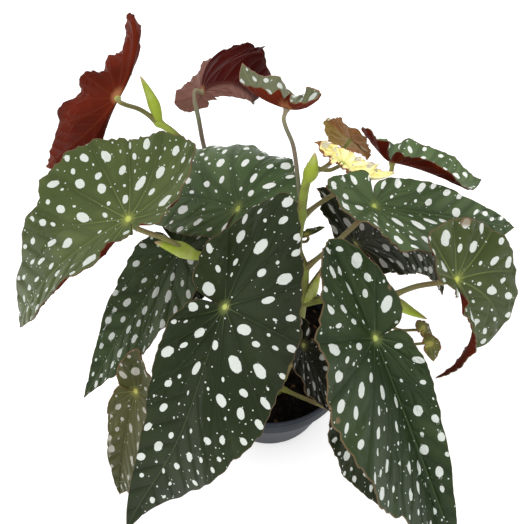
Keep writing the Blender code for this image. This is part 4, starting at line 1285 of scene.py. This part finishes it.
def build_sheath(name, foot, tip, radius, widest, sides=28, steps=22):
    """A creased spindle from foot to tip."""
    a, b = Vector(foot), Vector(tip)
    axis = (b - a).normalized()
    side = axis.cross(Vector((0, 0, 1))).normalized()
    other = axis.cross(side)
    points, along = [], []
    for i in range(steps + 1):
        t = i / steps
        rise = min(1.0, t / widest)
        fall = max(0.0, (t - widest) / (1 - widest))
        r = radius * (FOOT_SHARE + (1 - FOOT_SHARE) * sin(rise * pi / 2))
        r = r * (1 - fall) ** TIP_ROUND + TIP_RADIUS
        bend = BEND * sin(pi * t)
        for k in range(sides):
            turn = 2 * pi * k / sides
            crease = 1.0
            for deep, place, width in CREASES:
                crease -= deep * np.exp(-((turn - place) / width) ** 2)
            q = a.lerp(b, t) + side * (cos(turn) * r * crease + bend)
            points.append((q + other * sin(turn) * r * FLATTENED * crease) * MM)
            along.append(t)
    faces = [tuple(reversed(range(sides))), tuple(steps * sides + k for k in range(sides))]
    for i in range(steps):
        for k in range(sides):
            m = (k + 1) % sides
            faces.append((i * sides + k, i * sides + m, (i + 1) * sides + m, (i + 1) * sides + k))
    mesh = bpy.data.meshes.new(name)
    mesh.from_pydata(points, [], faces)
    bm = bmesh.new()
    bm.from_mesh(mesh)
    bmesh.ops.recalc_face_normals(bm, faces=bm.faces)
    bm.to_mesh(mesh)
    bm.free()
    data = mesh.attributes.new("along", "FLOAT", "POINT")
    data.data.foreach_set("value", np.array(along, np.float32))
    mesh.materials.append(BUD_GREEN)
    mesh.shade_smooth()
    return add_object(name, mesh)


print("sheaths to build:", len(BUDS))

# %% Sheaths and finished canes
for number, (owner, foot, tip, radius, widest) in enumerate(BUDS):
    stems[owner].append(build_sheath("sheath_%d" % number, foot, tip, radius, widest))
for cane_name, parts in stems.items():
    piece = join_into(cane_name + "_dressed", parts)
    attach(piece, "root")
    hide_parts(cane_name)
    print(piece.name, len(piece.data.polygons), "faces")

# %% [markdown]
# ## Pot
#
# A low nursery pot is blow-moulded in one thin wall: a plain tapered body and a deeper band at the
# rim. It is a turned shape, so one profile is spun round the axis with many more steps than the
# plain solid has. Its plastic is dull slate with fine round scuffs from stacking, and a highlight
# is painted along the rim's rounded top edge.

# %% Sizes of the pot
POT_HEIGHT = 72.0
POT_RIM_RADIUS = 54.0
POT_RIM_BAND = 15.0
POT_BASE_RADIUS = 38.0
POT_BAND_FOOT = POT_HEIGHT - POT_RIM_BAND
POT_OVERHANG = 3.0
POT_WALL = 1.8
POT_FLOOR = 3.0


def wall_radius(z):
    """Outer radius of the tapered body at a height, both in mm."""
    top_radius = POT_RIM_RADIUS - POT_OVERHANG
    return POT_BASE_RADIUS + (top_radius - POT_BASE_RADIUS) * z / POT_BAND_FOOT


print("wall under the band:", wall_radius(POT_BAND_FOOT), "mm from the axis")

# %% Turning a profile
def spin_profile(name, profile, sides, finish):
    """Turn (radius, height) points in mm round the pot's axis into a closed mesh."""
    bm = bmesh.new()
    verts = [bm.verts.new((r * MM, 0, z * MM)) for r, z in profile]
    edges = [bm.edges.new(pair) for pair in zip(verts, verts[1:])]
    bmesh.ops.spin(bm, geom=verts + edges, axis=(0, 0, 1), cent=(0, 0, 0), angle=2 * pi,
                   steps=sides, use_merge=True)
    bmesh.ops.remove_doubles(bm, verts=bm.verts, dist=1e-6)
    bmesh.ops.dissolve_degenerate(bm, dist=1e-7, edges=bm.edges)
    bmesh.ops.recalc_face_normals(bm, faces=bm.faces)
    mesh = from_bmesh(name, bm)
    mesh.materials.append(finish)
    mesh.shade_smooth()
    return add_object(name, mesh)


def rounded(corners, radius, steps=4):
    """Round each inner corner of a profile with a short arc."""
    out = [corners[0]]
    for a, b, c in zip(corners, corners[1:], corners[2:]):
        a, b, c = Vector((*a, 0)), Vector((*b, 0)), Vector((*c, 0))
        cut = min(radius, (a - b).length * 0.45, (c - b).length * 0.45)
        p, q = b + (a - b).normalized() * cut, b + (c - b).normalized() * cut
        for i in range(steps + 1):
            t = i / steps
            s = p * (1 - t) ** 2 + b * 2 * t * (1 - t) + q * t ** 2
            out.append((s.x, s.y))
    return out + [corners[-1]]


print("a rounded corner has", len(rounded([(0, 0), (1, 0), (1, 1)], 0.3)) - 2, "points")

# %% Pot plastic
# The slate is darker than the plastic alone; part of its darkness is painted shade under the leaves.
SLATE, SLATE_PALE = (0.010, 0.0135, 0.019), (0.017, 0.022, 0.029)
# Scuff grey marks real scuffs; the last grey is a painted highlight on the rim's top edge.
SCUFF_GREY, RIM_HIGHLIGHT_GREY = (0.050, 0.054, 0.060), (0.075, 0.085, 0.105)


def pot_finish():
    """Slate plastic; the scuffs are a noise squeezed along the height, so they run round."""
    mat, shader, node = new_material("pot_slate")
    coords = node("ShaderNodeTexCoord").outputs["Object"]
    slow, fine = noise(node, coords, 45.0, 4.0), noise(node, coords, 1400.0)
    bands = node("ShaderNodeMapping", {"Vector": coords, "Scale": (25.0, 25.0, 1400.0)},
                 vector_type="POINT").outputs["Vector"]
    scuff = noise(node, bands, 1.0, 3.0)
    height = node("ShaderNodeSeparateXYZ", {0: coords}).outputs["Z"]
    # Painted highlight: the rim's top edge is coloured paler grey, as if light catches it.
    rim_highlight = grade(node, height, (POT_HEIGHT - 1.5) * MM, POT_HEIGHT * MM, 0.6)
    slate = mixed(node, grade(node, slow, 0.3, 0.7), rgb(*SLATE), rgb(*SLATE_PALE))
    slate = mixed(node, grade(node, scuff, 0.56, 0.72, 0.25), slate, rgb(*SCUFF_GREY))
    slate = mixed(node, rim_highlight, slate, rgb(*RIM_HIGHLIGHT_GREY))
    roughness = maths(node, "ADD", maths(node, "MULTIPLY", scuff, 0.25), 0.32)
    grain = maths(node, "ADD", fine, maths(node, "MULTIPLY", scuff, 0.5))
    return finished(mat, shader, node, slate, roughness, grain, 0.25, 0.0003, 0.04)


SLATE_PLASTIC = pot_finish()
print("pot finish:", SLATE_PLASTIC.name)

# %% Pot
band, top, rim = POT_BAND_FOOT, POT_HEIGHT, POT_RIM_RADIUS
inside = wall_radius(band) - POT_WALL
pot_profile = rounded([
    (0.0, 0.8), (24.0, 0.8), (24.8, 0.0), (POT_BASE_RADIUS - 1.0, 0.0), (POT_BASE_RADIUS, 1.2),
    (wall_radius(band), band), (rim - 1.3, band + 0.4), (rim - 0.5, band + 1.6), (rim, top - 1.6),
    (rim - 0.6, top), (rim - 2.2, top), (rim - 2.7, top - 2.0), (rim - 3.4, band + 3.0),
    (inside, band - 0.5), (wall_radius(POT_FLOOR) - POT_WALL, POT_FLOOR), (0.0, POT_FLOOR)], 0.9)
pot = spin_profile("pot_turned", pot_profile, 144, SLATE_PLASTIC)
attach(pot, "root")
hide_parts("pot")

# %% [markdown]
# ## Soil
#
# Potting mix is dark crumbs of peat with bits of bark, and it is looked into between the stems, so
# it needs real crumbs and not a bumpy disc. A lumpy disc carries the ground colour. Geometry Nodes
# then throw seeded points over it, set a small rock-like crumb on each with its own turn and size,
# and realize them. A second, sparse throw lays orange-brown bark chips.

# %% Height of the soil
SOIL_TOP, DOME, LUMPS = 62.0, 1.5, 1.4


def soil_height(x, y):
    """Height of the bed: a low dome with lumps that fade out at the wall, all in mm."""
    r = hypot(x, y) / POT_RIM_RADIUS
    lumps = sin(0.31 * x + 0.9) * sin(0.27 * y + 0.4) + 0.6 * sin(0.53 * x - 0.41 * y + 2.0)
    return SOIL_TOP + DOME * (1 - r * r) + LUMPS * lumps * max(0.0, 1 - r ** 4)


print("soil in the middle:", round(soil_height(0, 0), 1), "mm high")

# %% Peat and bark
def crumb_finish(name, dark, light, roughness):
    """Dull, rough and blotched, for peat and bark."""
    mat, shader, node = new_material(name)
    coords = node("ShaderNodeTexCoord").outputs["Object"]
    slow, fine = noise(node, coords, 260.0, 4.0), noise(node, coords, 1500.0, 3.0)
    colour = mixed(node, grade(node, slow, 0.4, 0.7), rgb(*dark), rgb(*light))
    rough = maths(node, "ADD", maths(node, "MULTIPLY", fine, 0.2), roughness)
    return finished(mat, shader, node, colour, rough, fine, 0.8, 0.0006, 0.12)


# The peat is partly its own dark colour and partly painted shade for the soil deep under the leaves.
PEAT = crumb_finish("soil_peat", (0.002, 0.0015, 0.001), (0.012, 0.009, 0.005), 0.8)
BARK = crumb_finish("bark_chip", (0.05, 0.028, 0.012), (0.17, 0.09, 0.04), 0.75)

print("soil finishes:", PEAT.name, BARK.name)

# %% Bed of soil
# How far the top dips at its edge, the height of its grit, and gaps to the pot, all in mm.
EDGE_DROP, GRIT = 1.2, 0.5
WALL_GAP, RIM_GAP, UNDER_GAP = 0.7, 4.6, 0.3


def soil_bed():
    """A closed lump of soil: fine rings on top, a tapered wall and a flat underside."""
    sides, rings = 96, 26
    edge = POT_RIM_RADIUS - RIM_GAP
    turns = [2 * pi * k / sides for k in range(sides)]
    points, faces = [(0, 0, soil_height(0, 0) * MM)], []
    for r in range(1, rings + 1):
        for t in turns:
            x, y = edge * r / rings * cos(t), edge * r / rings * sin(t)
            fade = max(0.0, 1 - (r / rings) ** 6)
            z = soil_height(x, y) * fade + (SOIL_TOP - EDGE_DROP) * (1 - fade)
            grit = sin(1.7 * x + 0.6 * y) * sin(1.3 * y - 0.5 * x) + 0.4 * sin(2.9 * x + 3.1 * y)
            points.append((x * MM, y * MM, (z + GRIT * fade * grit) * MM))
    for z in (POT_BAND_FOOT - 0.5, POT_FLOOR + UNDER_GAP):
        r = wall_radius(z) - POT_WALL - WALL_GAP
        points += [(r * cos(t) * MM, r * sin(t) * MM, z * MM) for t in turns]
    points.append((0, 0, (POT_FLOOR + UNDER_GAP) * MM))
    for k in range(sides):
        m = (k + 1) % sides
        faces.append((0, 1 + k, 1 + m))
        for r in range(rings + 1):
            a, b = 1 + r * sides + k, 1 + r * sides + m
            faces.append((a, a + sides, b + sides, b))
        last = 1 + (rings + 1) * sides
        faces.append((last + m, last + k, last + sides))
    mesh = bpy.data.meshes.new("soil_bed")
    mesh.from_pydata(points, [], faces)
    mesh.materials.append(PEAT)
    mesh.shade_smooth()
    return add_object("soil_bed", mesh)


bed = soil_bed()
print("bed of soil:", len(bed.data.polygons), "faces")

# %% Crumbs and chips
def chip_mesh(name, seed, flat):
    """A rough little stone of twenty faces, one mm in radius, flattened for bark."""
    draw = np.random.default_rng(seed)
    bm = bmesh.new()
    bmesh.ops.create_icosphere(bm, subdivisions=1, radius=1.0)
    for v in bm.verts:
        v.co *= draw.uniform(0.65, 1.2)
        v.co.z *= flat
        v.co *= MM
    return add_object(name, from_bmesh(name, bm))


crumb, chip = chip_mesh("crumb", seed=4, flat=0.8), chip_mesh("chip", seed=9, flat=0.35)
print("crumb and chip:", len(crumb.data.polygons), "faces each")

# %% The tree that scatters crumbs
def scatter_tree():
    """Throws a shape over the upward faces of the bed, each with its own turn and size."""
    tree = new_tree("scatter_crumbs", (
        ("Shape", "Object"), ("Density", "Float"), ("Seed", "Int"), ("Smallest", "Float"),
        ("Largest", "Float"), ("Finish", "Material")))
    add = tree.nodes.new
    start, end = add("NodeGroupInput"), add("NodeGroupOutput")
    normal, split = add("GeometryNodeInputNormal"), add("ShaderNodeSeparateXYZ")
    up = add("FunctionNodeCompare")
    up.data_type = "FLOAT"
    up.operation = "GREATER_THAN"
    up.inputs["B"].default_value = 0.5
    throw, info = add("GeometryNodeDistributePointsOnFaces"), add("GeometryNodeObjectInfo")
    turn, size = add("FunctionNodeRandomValue"), add("FunctionNodeRandomValue")
    turn.data_type = "FLOAT_VECTOR"
    turn.inputs["Max"].default_value = (6.283, 6.283, 6.283)
    size.data_type = "FLOAT"
    place, real = add("GeometryNodeInstanceOnPoints"), add("GeometryNodeRealizeInstances")
    paint = add("GeometryNodeSetMaterial")
    link_all(tree, (
        (start, "Geometry", throw, "Mesh"), (normal, "Normal", split, 0), (split, "Z", up, "A"),
        (up, "Result", throw, "Selection"), (start, "Density", throw, "Density"),
        (start, "Seed", throw, "Seed"), (start, "Shape", info, "Object"),
        (start, "Seed", turn, "Seed"), (start, "Seed", size, "Seed"),
        (start, "Smallest", size, 2), (start, "Largest", size, 3),
        (throw, "Points", place, "Points"), (info, "Geometry", place, "Instance"),
        (turn, 0, place, "Rotation"), (size, 1, place, "Scale"),
        (place, "Instances", real, "Geometry"), (real, "Geometry", paint, "Geometry"),
        (start, "Finish", paint, "Material"), (paint, "Geometry", end, "Geometry")))
    return tree


SCATTER = scatter_tree()


def scattered(name, bed, shape, **settings):
    """Copies of the shape thrown over the bed, with flat faces; the shape itself is removed."""
    made = through_tree(name, bed.data.copy(), SCATTER, Shape=shape, **settings)
    made.data.shade_flat()
    bpy.data.objects.remove(shape, do_unlink=True)
    return made


print("scatter tree nodes:", len(SCATTER.nodes))

# %% Soil
crumbs = scattered("soil_crumbs", bed, crumb, Density=260000.0, Seed=7, Smallest=0.45,
                   Largest=1.3, Finish=PEAT)
chips = scattered("bark_chips", bed, chip, Density=3500.0, Seed=21, Smallest=1.2, Largest=2.6,
                  Finish=BARK)
soil = join_into("soil_dressed", [bed, crumbs, chips])
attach(soil, "root")
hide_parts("soil")
print("soil:", len(soil.data.polygons), "faces")
